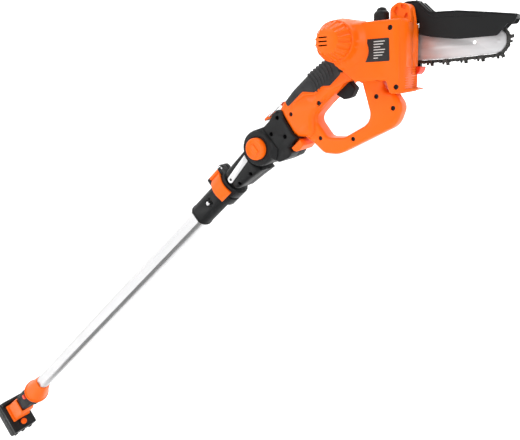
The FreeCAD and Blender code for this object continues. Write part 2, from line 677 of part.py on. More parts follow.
# ================================ knuckle and adapter ===========================================
def adapter_corners():
    return [(-6, 27), (12, 26.5, 8), (31, 18.5, 12), (46, 19, 8), (56, 22, 4), (68, 21, 2), (72, 14, 3),
            (67, 4, 6), (63.5, -23, 4), (65, BUTTON_ROOF + 1.5, 1), (44.5, BUTTON_ROOF, 1), (42, -44, 3),
            (33, -46, 8), (14, -40, 5), (9, -27, 3), (-6, -27)]


def adapter_screw_places():
    return [(34, 1), (51, -18), (60, 12)]


def adapter_body():
    body = soft_prism(adapter_corners(), -ADAPTER_WIDE, ADAPTER_WIDE, 2.5)
    body = body.common(box(8, 120, -60, 60, -80, 80))
    inner = CHEEK_OUT - 3
    waist = prism([(-2, -24), (-2, 27), (12, 26.5), (28, 19), (28, -37), (14, -38), (9, -25)], -inner, inner)
    cheeks = [cone_y(0, 0, CHEEK_R - 2, CHEEK_R, -CHEEK_OUT, -inner), rod_y(0, 0, CHEEK_R, -inner, inner),
              cone_y(0, 0, CHEEK_R, CHEEK_R - 2, inner, CHEEK_OUT)]
    lug = box(LATCH_X - 5, LATCH_X + 5, -4, 4, 17, 29)
    whole = join([body, waist.common(rod_y(0, 0, 37, -60, 60)), lug] + cheeks)
    slot = rod_y(0, 0, TONGUE_R + SLOT_GAP, -TONGUE_HALF - MOVE_GAP, TONGUE_HALF + MOVE_GAP)
    open_back = box(-60, 0, -TONGUE_HALF - MOVE_GAP, TONGUE_HALF + MOVE_GAP, -60, 60)
    knob_room = rod_y(0, 0, KNOB_R + MOVE_GAP, -60, -TONGUE_HALF - 4.6)
    ring_room = rod_y(0, 0, LOCK_RING_R + 0.6, -TONGUE_HALF - 6.0, 0)
    pivot = rod_y(0, 0, PIVOT_R, -60, 60)
    head_room = rod_y(0, 0, PIVOT_HEAD_R, CHEEK_OUT - 5, 60)
    lever_pin = rod_y(LATCH_X, LATCH_Z, LATCH_PIN_R, -20, 20)
    side = BUTTON_STEM + MOVE_GAP
    button_room = box(48 - MOVE_GAP, 61 + MOVE_GAP, -side, side, -60, BUTTON_ROOF + 5.5)
    return (whole.cut(slot).cut(open_back).cut(knob_room).cut(ring_room).cut(pivot).cut(head_room)
            .cut(lever_pin).cut(button_room))


def adapter_half(near):
    shell = halves(adapter_body(), near)
    for x, z in adapter_screw_places():
        shell = shell.cut(screw_room(x, z, ADAPTER_SCREW_SEAT, ADAPTER_SCREW_SEAT + JOINT_SCREW_LONG))
    return shell


def pivot_bolt():
    shank = rod_y(0, 0, PIVOT_R, -TONGUE_HALF + 7.0, CHEEK_OUT - 5)
    head = rod_y(0, 0, PIVOT_HEAD_R, CHEEK_OUT - 5, CHEEK_OUT - 0.5)
    key = hexagon(0, 0, 3.4, CHEEK_OUT - 4, CHEEK_OUT)
    return join([shank, head]).cut(key)


def knuckle_knob():
    face = -CHEEK_OUT - KNOB_PROUD
    back = -CHEEK_OUT + KNOB_SUNK
    cap = rod_y(0, 0, KNOB_R, face, back)
    rim = [edge for edge in cap.Edges if edge.BoundBox.YMax < face + 1]
    cap = cap.makeFillet(2.5, rim)
    dish = spin_y(0, 0, [(0, face - 1), (KNOB_R - 4, face - 1), (KNOB_R - 4, face), (KNOB_R - 7, face + 1.4),
                         (0, face + 1.8)])
    return cap.cut(dish).cut(rod_y(0, 0, PIVOT_R + 4.5, back - 7, 0))


def lock_ring():
    ring = rod_y(0, 0, LOCK_RING_R - 1.6, -CHEEK_OUT + KNOB_SUNK, -TONGUE_HALF + 1.5)
    teeth = []
    for i in range(24):
        tooth = box(LOCK_RING_R - 3, LOCK_RING_R, -TONGUE_HALF - 5, -TONGUE_HALF + 1.5, -1.1, 1.1)
        tooth.rotate(V(0, 0, 0), V(0, 1, 0), 15 * i)
        teeth.append(tooth.common(rod_y(0, 0, LOCK_RING_R, -60, 0)))
    return join([ring] + teeth).cut(rod_y(0, 0, 10.5, -60, 0))


def release_button():
    top = BUTTON_ROOF - BUTTON_TRAVEL - MOVE_GAP
    corners = [(45.6, top), (45.6, -42, 2), (48, -46, 2), (54, -48.5, 3), (64, -47, 2), (66, -42, 2),
               (66, top)]
    stem = box(48, 61, -BUTTON_STEM, BUTTON_STEM, top - 2, BUTTON_ROOF + 5.5 - BUTTON_TRAVEL - MOVE_GAP)
    return join([soft_prism(corners, -BUTTON_WIDE, BUTTON_WIDE, 1.2), stem])


def latch_lever():
    corners = [(53.5, 22.7, 2), (53.5, 28.5, 2.5), (45, 31.4, 4), (31, 32.4, 1), (29, 29.5, 1), (38, 26.3, 4),
               (45, 23, 2)]
    plate = soft_prism(corners, -9, 9, 0.8)
    slot = box(LATCH_X - 6.5, LATCH_X + 10, -4.3, 4.3, 15, 40)
    pin = rod_y(LATCH_X, LATCH_Z, LATCH_PIN_R + RUN_GAP, -20, 20)
    holes = rod_y(BAIL_X, BAIL_Z, BAIL_WIRE_R + RUN_GAP, -20, 20)
    return plate.cut(slot).cut(pin).cut(holes)


def latch_pin():
    return rod_y(LATCH_X, LATCH_Z, LATCH_PIN_R, -8.9, 8.9)


def latch_bail():
    wire = BAIL_WIRE_R
    run = V(BAIL_LONG, 0, -1)
    legs = []
    for side in (-1, 1):
        start = V(BAIL_X, BAIL_HALF * side, BAIL_Z)
        end = start + V(run).normalize() * BAIL_LONG
        legs.append(Part.makeCylinder(wire, BAIL_LONG, start, run))
        legs.append(rod_y(BAIL_X, BAIL_Z, wire, min(5.0 * side, start.y), max(5.0 * side, start.y)))
        legs.append(Part.makeSphere(wire, start))
        legs.append(Part.makeSphere(wire, end))
    legs.append(rod_y(end.x, end.z, wire, -BAIL_HALF, BAIL_HALF))
    return join(legs)


def latch_keeper():
    return soft_prism([(69, 20), (69, 26, 2), (72, 31, 1), (75.6, 30, 1), (75.6, 20)], -8.5, 8.5, 0.8)


# ================================ saw casing ====================================================
def housing_corners():
    return [(166, HOUSING_TOP, 10), (HOUSING_FRONT, HOUSING_TOP, 5), (HOUSING_FRONT, HOUSING_FOOT, 3),
            (221, HOUSING_FOOT, 5), (216, 97, 4), (172, 97, 6), (146, 118, 12), (146, 160, 12)]


def handle_corners():
    return along_corners([(66, 12, 3), (68, 21, 3), (76, 23.5, 5), (104, 26.5, 60), (141, 25.5, 60),
                          (176, 21, 20), (200, 12, 6), (206, -34, 6), (193, -41, 4), (181, -34, 6),
                          (150, -25, 10), (107, -25, 14), (92, -44, 6), (80, -44, 3), (64, -30, 3), (62, -22, 3)])


def loop_corners():
    return [(72, 52, 4), (66, 25, 4), (92, 10, 22), (110, -6, 16), (134, -7, 30), (222, 36, 26),
            (231, 62, 18), (219, 80, 10), (207, 83, 8), (200, 110), (165, 114), (116, 98)]


def loop_opening_corners():
    return [(170.5, 100, 2), (187.5, 42, 20), (143, 18, 25), (117.5, 18, 12), (96.5, 46, 12), (128, 77.5, 8),
            (150, 96, 6), (163, 102, 2)]


def ear_corners():
    return [(211, HOUSING_TOP - 4), (211, 188, 8), (222, 194, 9), (236, 190, 9), (240, HOUSING_TOP - 4)]


def motor_boss(shrink, y0, y1):
    return rod_y(MOTOR_X, MOTOR_Z, MOTOR_BASE_R - shrink, y0, y1)


def casing_outside():
    housing = soft_prism(housing_corners(), HOUSING_NEAR, HOUSING_FAR, 2.5)
    grip = soft_prism(handle_corners(), -HANDLE_WIDE, HANDLE_WIDE, 9)
    loop = loop_ring()
    boss = cone_y(MOTOR_X, MOTOR_Z, MOTOR_CAP_R + 0.5, MOTOR_BASE_R, MOTOR_CAP_Y, HOUSING_NEAR)
    flare = cone_y(MOTOR_X, MOTOR_Z, MOTOR_CAP_R, MOTOR_FLARE_R, MOTOR_FLARE_Y, HOUSING_NEAR)
    flare = flare.common(prism(housing_corners(), MOTOR_FLARE_Y, HOUSING_NEAR + 1, 1))
    block = motor_boss(0, HOUSING_NEAR, HANDLE_WIDE)
    ear = soft_prism(ear_corners(), -12, 11.4, 2)
    front = HOUSING_FRONT
    foot = HOUSING_FOOT
    lip_corners = [(front - 2, foot + 1), (front - 2, foot + 6), (front + 8, foot + 4.4), (front + 8, foot + 3)]
    lip = prism(lip_corners, -10, HOUSING_FAR)
    housing = housing.cut(front_corner())
    return join([housing, grip, loop, boss, flare, block, ear, lip])


def front_corner():
    """Wedge that slopes off the housing's near front corner."""
    near = HOUSING_NEAR
    points = [V(HOUSING_FRONT - CORNER_X, near, 0), V(HOUSING_FRONT, near + CORNER_Y, 0),
              V(HOUSING_FRONT + CORNER_X, near, 0), V(HOUSING_FRONT - CORNER_X, near, 0)]
    return Part.Face(Part.makePolygon(points)).extrude(V(0, 0, HOUSING_TOP + 10))


def loop_ring():
    """The D handle, rounded outside and round the edges of its opening."""
    ring = soft_prism(loop_corners(), -LOOP_WIDE, LOOP_WIDE, LOOP_ROUND)
    opening = prism(loop_opening_corners(), -LOOP_WIDE, LOOP_WIDE)
    ring = ring.cut(opening)
    span = opening.BoundBox
    rims = []
    for edge in ring.Edges:
        bounds = edge.BoundBox
        flat = bounds.YLength < 1e-3 and abs(abs(bounds.YMin) - LOOP_WIDE) < 1e-3
        across = bounds.XMin > span.XMin - 0.1 and bounds.XMax < span.XMax + 0.1
        if flat and across and bounds.ZMin > span.ZMin - 0.1 and bounds.ZMax < span.ZMax + 0.1:
            rims.append(edge)
    return ring.makeFillet(OPENING_ROUND, rims)


def casing_cavity():
    wall = HOUSING_WALL
    housing = prism(housing_corners(), HOUSING_NEAR + wall, HOUSING_FAR - wall, wall)
    grip = prism(handle_corners(), -HANDLE_WIDE + wall + RUBBER_THICK, HANDLE_WIDE - wall - RUBBER_THICK,
                 wall + RUBBER_THICK)
    loop = prism(loop_corners(), -LOOP_WIDE + wall, LOOP_WIDE - wall, wall)
    ring = prism(loop_opening_corners(), -60, 60, -wall)
    boss = motor_boss(wall + 3.5, MOTOR_CAP_Y - 1, HANDLE_WIDE - wall)
    return join([housing, grip, boss]).cut(ring).fuse(loop.cut(ring))


def saw_screw_places():
    """(x, z, near face of the shell there)"""
    return [(221, 162, HOUSING_NEAR), (230, 88.5, HOUSING_NEAR), (60, 53, -HANDLE_WIDE),
            (108, 69, -HANDLE_WIDE), (106, 17, -LOOP_WIDE), (159, 17, -LOOP_WIDE), (194, 76, -LOOP_WIDE),
            (218, 60, -LOOP_WIDE)]


def trigger_corners():
    return along_corners([(153, -14), (151, -26, 4), (155, -38, 7), (166, -43, 8), (179, -38, 4), (177, -14)])


def casing_body():
    body = casing_outside().cut(prism(loop_opening_corners(), -90, 90))
    body = body.cut(casing_cavity())
    gap = prism([(201.5, 98.5), (205, 87, 3), (216, 82), (219, 88), (215, 96.6)], -90, 90)
    body = body.cut(gap)
    body = body.cut(tilt(prism(adapter_corners(), -90, 90)))
    body = body.cut(tilt(latch_keeper()))
    body = body.cut(box(200, 260, 11.6, 60, 166, 260))
    body = body.cut(rod_y(GUARD_X, GUARD_Z, GUARD_PIN_R, GUARD_PIN_IN, 60))
    body = body.cut(rod_z(CAP_X, 0, 6.2, HOUSING_TOP - 10, HOUSING_TOP + 10))
    body = body.cut(trigger_room())
    body = body.cut(rod_y(SPINDLE_X, SPINDLE_Z, SPINDLE_R + 1.5, 0, 60))
    body = body.cut(lock_off_room())
    return body.cut(rubber_grip())


def trigger_room():
    """Straight-sided well that the trigger travels up and down in."""
    side = TRIGGER_HALF + MOVE_GAP
    return tilt(box(151 - MOVE_GAP, 179 + MOVE_GAP, -side, side, -48, -14 + TRIGGER_TRAVEL))


def lock_off_room():
    x, z = along(LOCK_OFF_AT, LOCK_OFF_DOWN)
    return rod_y(x, z, LOCK_OFF_R + MOVE_GAP, -90, -8)


def casing(near):
    shell = halves(casing_body(), near)
    for x, z, face in saw_screw_places():
        shell = shell.cut(screw_room(x, z, face + CASE_SCREW_SEAT, face + CASE_SCREW_SEAT + CASE_SCREW_LONG))
    if near:
        return shell
    return shell.cut(rod_y(STUD_X, BAR_Z, STUD_R, 10, 60))


def head_screws():
    """The screws of the saw casing and of the adapter, all alike."""
    sunk = CASE_SCREW_SEAT - SCREW_HEAD_HIGH
    screws = [screw_y(x, z, face + sunk, CASE_SCREW_LONG) for x, z, face in saw_screw_places()]
    for s, t in adapter_screw_places():
        x, z = along(s, t)
        screws.append(screw_y(x, z, ADAPTER_SCREW_SEAT - SCREW_HEAD_HIGH, JOINT_SCREW_LONG))
    return group(screws)


def rubber_corners():
    return along_corners([(85, 40), (84, 12.5, 3), (118, 12, 5), (132, -2, 4), (147, -4, 5), (157, -12, 4),
                          (180, -11.5, 5), (185, -4, 4), (181, 13, 4), (181, 40)])


def rubber_grip():
    outside = soft_prism(handle_corners(), -HANDLE_WIDE, HANDLE_WIDE, 9)
    half = HANDLE_WIDE - RUBBER_THICK
    inside = soft_prism(handle_corners(), -half, half, 7, RUBBER_THICK)
    skin = outside.cut(inside).common(prism(rubber_corners(), -60, 60))
    skin = skin.cut(motor_boss(-0.2, -90, 90)).cut(rod_y(MOTOR_X, MOTOR_Z, MOTOR_BASE_R + 0.2, -90, 90))
    return skin.cut(prism(housing_corners(), HOUSING_NEAR, HOUSING_FAR)).cut(lock_off_room())


def saw_trigger():
    return soft_prism(trigger_corners(), -TRIGGER_HALF, TRIGGER_HALF, 2.0)


def lock_off_button():
    x, z = along(LOCK_OFF_AT, LOCK_OFF_DOWN)
    cap = rod_y(x, z, LOCK_OFF_R, -HANDLE_WIDE - 5, -11)
    return cap.makeFillet(1.0, [edge for edge in cap.Edges if edge.BoundBox.YMax < -HANDLE_WIDE])


def motor_cap():
    """Tapered cap with flutes round its edge and three vents in its end."""
    end = MOTOR_END_Y
    rim = MOTOR_CAP_Y
    shell = spin_y(MOTOR_X, MOTOR_Z, [(0, end), (MOTOR_END_R - 4, end), (MOTOR_END_R, end + 3),
                                      (MOTOR_CAP_R, rim - 3), (MOTOR_CAP_R, rim), (0, rim)])
    hollow = spin_y(MOTOR_X, MOTOR_Z, [(0, end + 3), (MOTOR_END_R - 4.5, end + 3), (MOTOR_CAP_R - 4, rim - 3),
                                       (MOTOR_CAP_R - 4, rim), (0, rim)])
    body = shell.cut(hollow)
    for i in range(3):
        z = MOTOR_Z + 5.0 - 5.0 * i
        body = body.cut(box(MOTOR_X - 12, MOTOR_X + 1, end - 1, end + 4, z - 0.9, z + 0.9))
    ring_r = MOTOR_END_R + CAP_FLUTE_R + 0.8
    for i in range(CAP_FLUTES):
        angle = 2 * math.pi * i / CAP_FLUTES
        x = MOTOR_X + ring_r * math.cos(angle)
        z = MOTOR_Z + ring_r * math.sin(angle)
        body = body.cut(rod_y(x, z, CAP_FLUTE_R, end - 1, end + 9))
    return body


def motor_can():
    can = rod_y(MOTOR_X, MOTOR_Z, MOTOR_CAN_R, -63, -28)
    inside = rod_y(MOTOR_X, MOTOR_Z, MOTOR_CAN_R - 1.6, -61.4, -29.6)
    ends = rod_y(MOTOR_X, MOTOR_Z, MOTOR_SHAFT_R + 1.5, -67, -27)
    return can.cut(inside).cut(ends)


def toothed_wheel(x, z, teeth, y0, y1, first_angle, bore):
    """Spur gear with straight-sided teeth, cut with backlash."""
    pitch_r = GEAR_MODULE * teeth / 2.0
    root = pitch_r - 1.15 * GEAR_MODULE
    tip = pitch_r + 0.8 * GEAR_MODULE
    step = 2 * math.pi / teeth
    points = []
    for i in range(teeth):
        centre = first_angle + i * step
        for radius, share in ((root, -0.33), (tip, -0.12), (tip, 0.12), (root, 0.33)):
            angle = centre + share * step
            points.append(V(x + radius * math.cos(angle), y0, z + radius * math.sin(angle)))
    points.append(points[0])
    wheel = Part.Face(Part.makePolygon(points)).extrude(V(0, y1 - y0, 0))
    return wheel.cut(rod_y(x, z, bore, y0 - 1, y1 + 1)) if bore else wheel


def gear_line():
    return math.atan2(GEAR_GAP_Z, GEAR_GAP_X)


def motor_rotor():
    shaft = rod_y(MOTOR_X, MOTOR_Z, MOTOR_SHAFT_R, -68, -4)
    core = rod_y(MOTOR_X, MOTOR_Z, MOTOR_CAN_R - 3.5, -58, -34)
    pinion = toothed_wheel(MOTOR_X, MOTOR_Z, PINION_TEETH, -20, -9, gear_line(), 0)
    return join([shaft, core, pinion])


def drive_gear():
    facing = gear_line() + math.pi
    wheel = toothed_wheel(SPINDLE_X, SPINDLE_Z, GEAR_TEETH, -19, -10, facing + math.pi / GEAR_TEETH, 0)
    spindle = rod_y(SPINDLE_X, SPINDLE_Z, SPINDLE_R, -31, 33.5)
    return join([wheel, spindle])


def spindle_bearings():
    races = []
    for y0 in (-31, 12):
        races.append(rod_y(SPINDLE_X, SPINDLE_Z, BEARING_R, y0, y0 + 7)
                     .cut(rod_y(SPINDLE_X, SPINDLE_Z, SPINDLE_R + RUN_GAP, y0 - 1, y0 + 8)))
    return group(races)


def drive_sprocket():
    body = rod_y(SPINDLE_X, SPINDLE_Z, SPROCKET_R, BAR_Y - 3, BAR_Y + 3)
    for i in range(7):
        angle = 2 * math.pi * i / 7
        x = SPINDLE_X + (SPROCKET_R + 1) * math.cos(angle)
        z = SPINDLE_Z + (SPROCKET_R + 1) * math.sin(angle)
        body = body.cut(rod_y(x, z, 2.2, BAR_Y - 1.0, BAR_Y + 1.0))
    return body.cut(rod_y(SPINDLE_X, SPINDLE_Z, SPINDLE_R, 0, 60))


def saw_switch():
    return tilt(box(156, 174, -7, 7, -6, 5))


def oil_tank():
    tank = box(181, 211, -6, 10, 147, HOUSING_TOP - HOUSING_WALL)
    inside = box(183, 209, -4, 8, 149, HOUSING_TOP - HOUSING_WALL - 2)
    return tank.cut(inside).cut(rod_z(CAP_X, 0, 5.8, 160, 200))


def oil_cap():
    skirt_top = HOUSING_TOP + CAP_SKIRT
    skirt = rod_z(CAP_X, 0, CAP_R, HOUSING_TOP + 0.4, skirt_top)
    dome = Part.makeCone(CAP_R - 1.5, 4.0, CAP_DOME, V(CAP_X, 0, skirt_top), V(0, 0, 1))
    plug = rod_z(CAP_X, 0, 5.5, HOUSING_TOP - 8, HOUSING_TOP + 0.4)
    cap = join([skirt, dome, plug])
    ring_r = CAP_R + 0.6
    for i in range(14):
        angle = 2 * math.pi * i / 14
        x = CAP_X + ring_r * math.cos(angle)
        cap = cap.cut(rod_z(x, ring_r * math.sin(angle), 1.3, HOUSING_TOP + 2, skirt_top + CAP_DOME + 1))
    return cap


# ================================ bar, chain, guard =============================================
def loop_outline(grow):
    """Racetrack round the sprocket end and the nose, grown by a distance."""
    tail_half = SPROCKET_R + 1.6
    return [(SPINDLE_X - tail_half - grow, BAR_Z + tail_half + grow, tail_half + grow - 0.1),
            (240, BAR_Z + BAR_HALF + grow, 60), (276, BAR_Z + BAR_HALF + grow, 80),
            (NOSE_X + NOSE_R + grow, BAR_Z + NOSE_R + grow, NOSE_R + grow - 0.2),
            (NOSE_X + NOSE_R + grow, BAR_Z - NOSE_R - grow, NOSE_R + grow - 0.2),
            (276, BAR_Z - BAR_HALF - grow, 80), (240, BAR_Z - BAR_HALF - grow, 60),
            (SPINDLE_X - tail_half - grow, BAR_Z - tail_half - grow, tail_half + grow - 0.1)]


def guide_bar():
    y0 = BAR_Y - BAR_THICK / 2
    y1 = BAR_Y + BAR_THICK / 2
    body = prism(loop_outline(0.0), y0, y1)
    body = body.common(box(SPINDLE_X + SPROCKET_R + 2, 400, y0, y1, 0, 300))
    slot = prism([(217, BAR_Z - 3.05, 2.9), (231, BAR_Z - 3.05, 2.9), (231, BAR_Z + 3.05, 2.9),
                  (217, BAR_Z + 3.05, 2.9)], 0, 60)
    hang = rod_y(NOSE_X - 24, BAR_Z + 0.5, 2.3, 0, 60)
    pocket = rod_y(NOSE_X, BAR_Z, NOSE_R + 5, BAR_Y - 0.8, BAR_Y + 0.8)
    pocket = pocket.cut(rod_y(NOSE_X, BAR_Z, NOSE_PIN_R, BAR_Y - 0.8, BAR_Y + 0.8))
    return body.cut(slot).cut(hang).cut(pocket)


def nose_sprocket():
    wheel = rod_y(NOSE_X, BAR_Z, NOSE_R - 0.6, BAR_Y - 0.6, BAR_Y + 0.6)
    for i in range(10):
        angle = 2 * math.pi * i / 10
        x = NOSE_X + NOSE_R * math.cos(angle)
        z = BAR_Z + NOSE_R * math.sin(angle)
        wheel = wheel.cut(rod_y(x, z, 2.0, 0, 60))
    return wheel.cut(rod_y(NOSE_X, BAR_Z, NOSE_PIN_R + RUN_GAP, 0, 60))


def saw_chain():
    y0 = BAR_Y - CHAIN_WIDE / 2
    y1 = BAR_Y + CHAIN_WIDE / 2
    inside = prism(loop_outline(CHAIN_SIT), y0 - 1, y1 + 1)
    return prism(loop_outline(CHAIN_SIT + CHAIN_HIGH), y0, y1).cut(inside)


def cover_corners():
    return [(168, 163, 12), (238, 163, 5), (238, 108, 8), (226, 103, 8), (180, 108, 14), (168, 122, 8)]


def bar_stud_and_nut():
    stud = rod_y(STUD_X, BAR_Z, STUD_R, 10, 45)
    nut = hexagon(STUD_X, BAR_Z, 6.5, 40.2, 45)
    return group([stud, nut.cut(rod_y(STUD_X, BAR_Z, STUD_R, 0, 60))])


def sprocket_cover():
    outside = soft_prism(cover_corners(), HOUSING_FAR, 44, 3)
    room = prism(cover_corners(), HOUSING_FAR, 34, 3)
    front = box(230, 260, HOUSING_FAR, 34, 112, 160)
    tunnel = prism(loop_outline(CHAIN_SIT + CHAIN_HIGH + 1.5), HOUSING_FAR, 34)
    nut_room = rod_y(STUD_X, BAR_Z, 8.5, 40.2, 60)
    stud = rod_y(STUD_X, BAR_Z, STUD_R, 0, 60)
    return outside.cut(room).cut(front).cut(tunnel).cut(nut_room).cut(stud)


def chain_catcher():
    tip = HOUSING_FRONT + 7.5
    corners = [(HOUSING_FRONT, 112.5, 1), (tip, 112.5, 2), (tip - 3, 105, 3), (HOUSING_FRONT, 101, 1)]
    return soft_prism(corners, 12, 35, 1)


def guard_corners():
    return [(216, 186, 6), (222, 195, 5), (239, 194, 4), (255, 178.5, 10), (290, 177, 60), (360, 166, 2),
            (356, 157, 2), (349, 157, 1), (338, 144, 4), (291, 143.5, 60), (257, 149, 20), (241, 153, 2),
            (241, 173, 4), (230, 168, 3), (217, 171, 6)]


def guard_inside_corners():
    wall = GUARD_WALL
    return [(222, 185), (224, 193 - wall, 4), (238, 192 - wall, 4), (254.5, 176.5 - wall, 10),
            (290, 175 - wall, 60), (370, 162.4 - wall), (370, 100), (200, 100), (222, 160)]


def chain_guard():
    near = BAR_Y - GUARD_IN
    far = BAR_Y + GUARD_IN
    body = soft_prism(guard_corners(), near, far, 1.0)
    inside = prism(guard_inside_corners(), near + GUARD_WALL, far - GUARD_WALL)
    return body.cut(inside).cut(rod_y(GUARD_X, GUARD_Z, GUARD_PIN_R + RUN_GAP, 0, 60))


def guard_pin():
    return rod_y(GUARD_X, GUARD_Z, GUARD_PIN_R, GUARD_PIN_IN, BAR_Y + GUARD_IN + 1.5)


POLE_PIECES = {
    "lower_tube": lower_tube, "hand_guard_collar": hand_guard_collar, "rear_grip_screws": rear_grip_screws,
    "pole_trigger": pole_trigger, "pole_lock_button": pole_lock_button, "pole_switch": pole_switch,
    "battery_seat": battery_seat, "battery_case": battery_case,
    "battery_lid": battery_lid, "battery_cells": battery_cells, "battery_button": battery_button,
    "coupling_sleeve": coupling_sleeve, "snap_button": snap_button, "snap_spring": snap_spring,
    "clamp_band": clamp_band, "clamp_bolt": clamp_bolt, "guide_bush": guide_bush, "cam_lever": cam_lever,
    "cam_pin": cam_pin, "inner_tube": inner_tube, "inner_end_plug": inner_end_plug, "side_strip": side_strip,
    "joint_screws": joint_screws, "pivot_bolt": pivot_bolt,
    "knuckle_knob": knuckle_knob, "lock_ring": lock_ring,
    "release_button": release_button, "latch_lever": latch_lever, "latch_pin": latch_pin,
    "latch_bail": latch_bail, "latch_keeper": latch_keeper,
}
POLE_HALVES = {
    "rear_grip": rear_grip_with_screw_room, "joint_housing": joint_housing, "adapter": adapter_half,
}
SAW_PIECES = {
    "rubber_grip": rubber_grip, "head_screws": head_screws, "saw_trigger": saw_trigger,
    "lock_off_button": lock_off_button, "motor_cap": motor_cap, "motor_can": motor_can,
    "motor_rotor": motor_rotor, "drive_gear": drive_gear, "spindle_bearings": spindle_bearings,
    "drive_sprocket": drive_sprocket,
    "saw_switch": saw_switch, "oil_tank": oil_tank, "oil_cap": oil_cap,
    "guide_bar": guide_bar, "nose_sprocket": nose_sprocket, "saw_chain": saw_chain,
    "bar_stud_and_nut": bar_stud_and_nut,
    "sprocket_cover": sprocket_cover, "chain_catcher": chain_catcher,
    "chain_guard": chain_guard, "guard_pin": guard_pin,
}


def all_nodes():
    for name, draw in POLE_PIECES.items():
        yield name, to_row(tilt(draw()))
    for name, draw in POLE_HALVES.items():
        yield name + "_near", to_row(tilt(draw(True)))
        yield name + "_far", to_row(tilt(draw(False)))
    for name, draw in SAW_PIECES.items():
        yield name, to_row(draw())
    yield "saw_casing_near", to_row(casing(True))
    yield "saw_casing_far", to_row(casing(False))


os.makedirs("parts", exist_ok=True)
for node, shape in all_nodes():
    shape.exportStep("parts/" + node + ".step")
    size = shape.BoundBox
    print("%-20s solids %2d  valid %s  volume %9.0f  x %7.1f %7.1f  y %6.1f %6.1f  z %7.1f %7.1f" % (
        node, len(shape.Solids), shape.isValid(), shape.Volume, size.XMin, size.XMax, size.YMin, size.YMax,
        size.ZMin, size.ZMax))
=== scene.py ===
import json
import math

import bpy
from bpy.props import FloatProperty, FloatVectorProperty, IntProperty, PointerProperty
from mathutils import Matrix, Vector

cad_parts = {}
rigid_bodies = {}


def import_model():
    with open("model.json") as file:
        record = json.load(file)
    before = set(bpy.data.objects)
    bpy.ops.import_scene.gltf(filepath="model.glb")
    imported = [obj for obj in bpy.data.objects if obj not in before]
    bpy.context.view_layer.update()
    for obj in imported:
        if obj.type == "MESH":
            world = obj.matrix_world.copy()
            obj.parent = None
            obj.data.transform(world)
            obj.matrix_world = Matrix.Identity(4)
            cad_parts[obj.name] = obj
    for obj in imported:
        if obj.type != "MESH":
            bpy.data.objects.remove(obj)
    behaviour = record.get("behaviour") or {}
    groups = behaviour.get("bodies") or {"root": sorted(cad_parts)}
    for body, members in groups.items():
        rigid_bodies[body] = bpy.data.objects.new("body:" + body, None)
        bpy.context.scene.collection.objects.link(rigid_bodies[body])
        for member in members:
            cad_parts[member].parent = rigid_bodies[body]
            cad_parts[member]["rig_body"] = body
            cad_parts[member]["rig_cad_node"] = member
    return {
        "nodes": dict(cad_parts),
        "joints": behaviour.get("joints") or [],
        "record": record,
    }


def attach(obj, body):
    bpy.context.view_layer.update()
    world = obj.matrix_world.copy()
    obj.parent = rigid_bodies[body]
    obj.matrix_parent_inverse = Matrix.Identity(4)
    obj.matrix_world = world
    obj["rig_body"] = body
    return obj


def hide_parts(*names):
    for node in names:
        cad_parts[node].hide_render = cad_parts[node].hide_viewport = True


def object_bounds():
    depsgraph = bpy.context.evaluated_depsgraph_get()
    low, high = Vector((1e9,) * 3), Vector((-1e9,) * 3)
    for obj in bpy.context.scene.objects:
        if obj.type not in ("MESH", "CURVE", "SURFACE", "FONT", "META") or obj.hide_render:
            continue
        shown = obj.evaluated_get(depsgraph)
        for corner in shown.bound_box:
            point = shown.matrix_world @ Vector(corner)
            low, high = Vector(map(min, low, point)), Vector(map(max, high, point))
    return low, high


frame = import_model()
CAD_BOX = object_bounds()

bl_info = {
    "name": "Telescoping Pole Saw",
    "version": (1, 0, 0),
    "blender": (4, 5, 0),
    "location": "3D View > Sidebar > Pole Saw",
    "description": "Finishes and fine pieces of a battery pole saw, built round its packed frame",
    "category": "Add Mesh",
}

# ---- places taken from the frame ----------------------------------------------------------------
MM = 0.001
JOINTS = {joint["name"]: joint for joint in frame["joints"]}
PIVOT = Vector(JOINTS["knuckle"]["pos_m"])
POLE_AXIS = Vector(JOINTS["telescope"]["axis"])
POLE_RISE = math.atan2(POLE_AXIS.z, POLE_AXIS.x)
SAW = Matrix.Translation(PIVOT)                                     # saw frame: upright, from the pivot
POLE = SAW @ Matrix.Rotation(-POLE_RISE, 4, "Y")                    # pole frame: x runs up the pole


def joint_place(name):
    """Millimetre (x, z) of a joint's axis in the saw frame."""
    place = (Vector(JOINTS[name]["pos_m"]) - PIVOT) / MM
    return place.x, place.z


def node_span(node, matrix, axis):
    """Lowest and highest millimetre of a CAD node along one axis of the saw or the pole frame."""
    turned = matrix.inverted()
    places = [(turned @ vertex.co)[axis] / MM for vertex in frame["nodes"][node].data.vertices]
    return min(places), max(places)


SLOTS = {part["node"]: part["material_slot"] for part in frame["record"]["subparts"]}


# ================================ settings =======================================================
def colour(name, description, default):
    return FloatVectorProperty(name=name, description=description, subtype="COLOR", size=3, min=0, max=1,
                               default=default)


def size(name, description, default):
    return FloatProperty(name=name, description=description, default=default * MM, min=0, unit="LENGTH")


class PoleSawColours(bpy.types.PropertyGroup):
    orange: colour("Orange", "Colour of the moulded casing", (0.88, 0.125, 0.002))
    red_orange: colour("Red orange", "Colour of the chain catcher and the lock button", (0.80, 0.045, 0.008))
    black: colour("Black moulding", "Colour of the guard, the knuckle and the battery",
                  (0.0085, 0.009, 0.0095))
    rubber: colour("Rubber", "Colour of the soft grip", (0.010, 0.0105, 0.012))
    aluminium: colour("Aluminium", "Colour of the anodised tubes", (0.61, 0.61, 0.615))
    steel: colour("Steel", "Colour of the guide bar and the plated fittings", (0.62, 0.62, 0.63))
    chain: colour("Chain", "Colour of the oiled chain", (0.085, 0.083, 0.080))
    plate: colour("Rating plate", "Colour of the dark plate on the casing", (0.022, 0.020, 0.020))


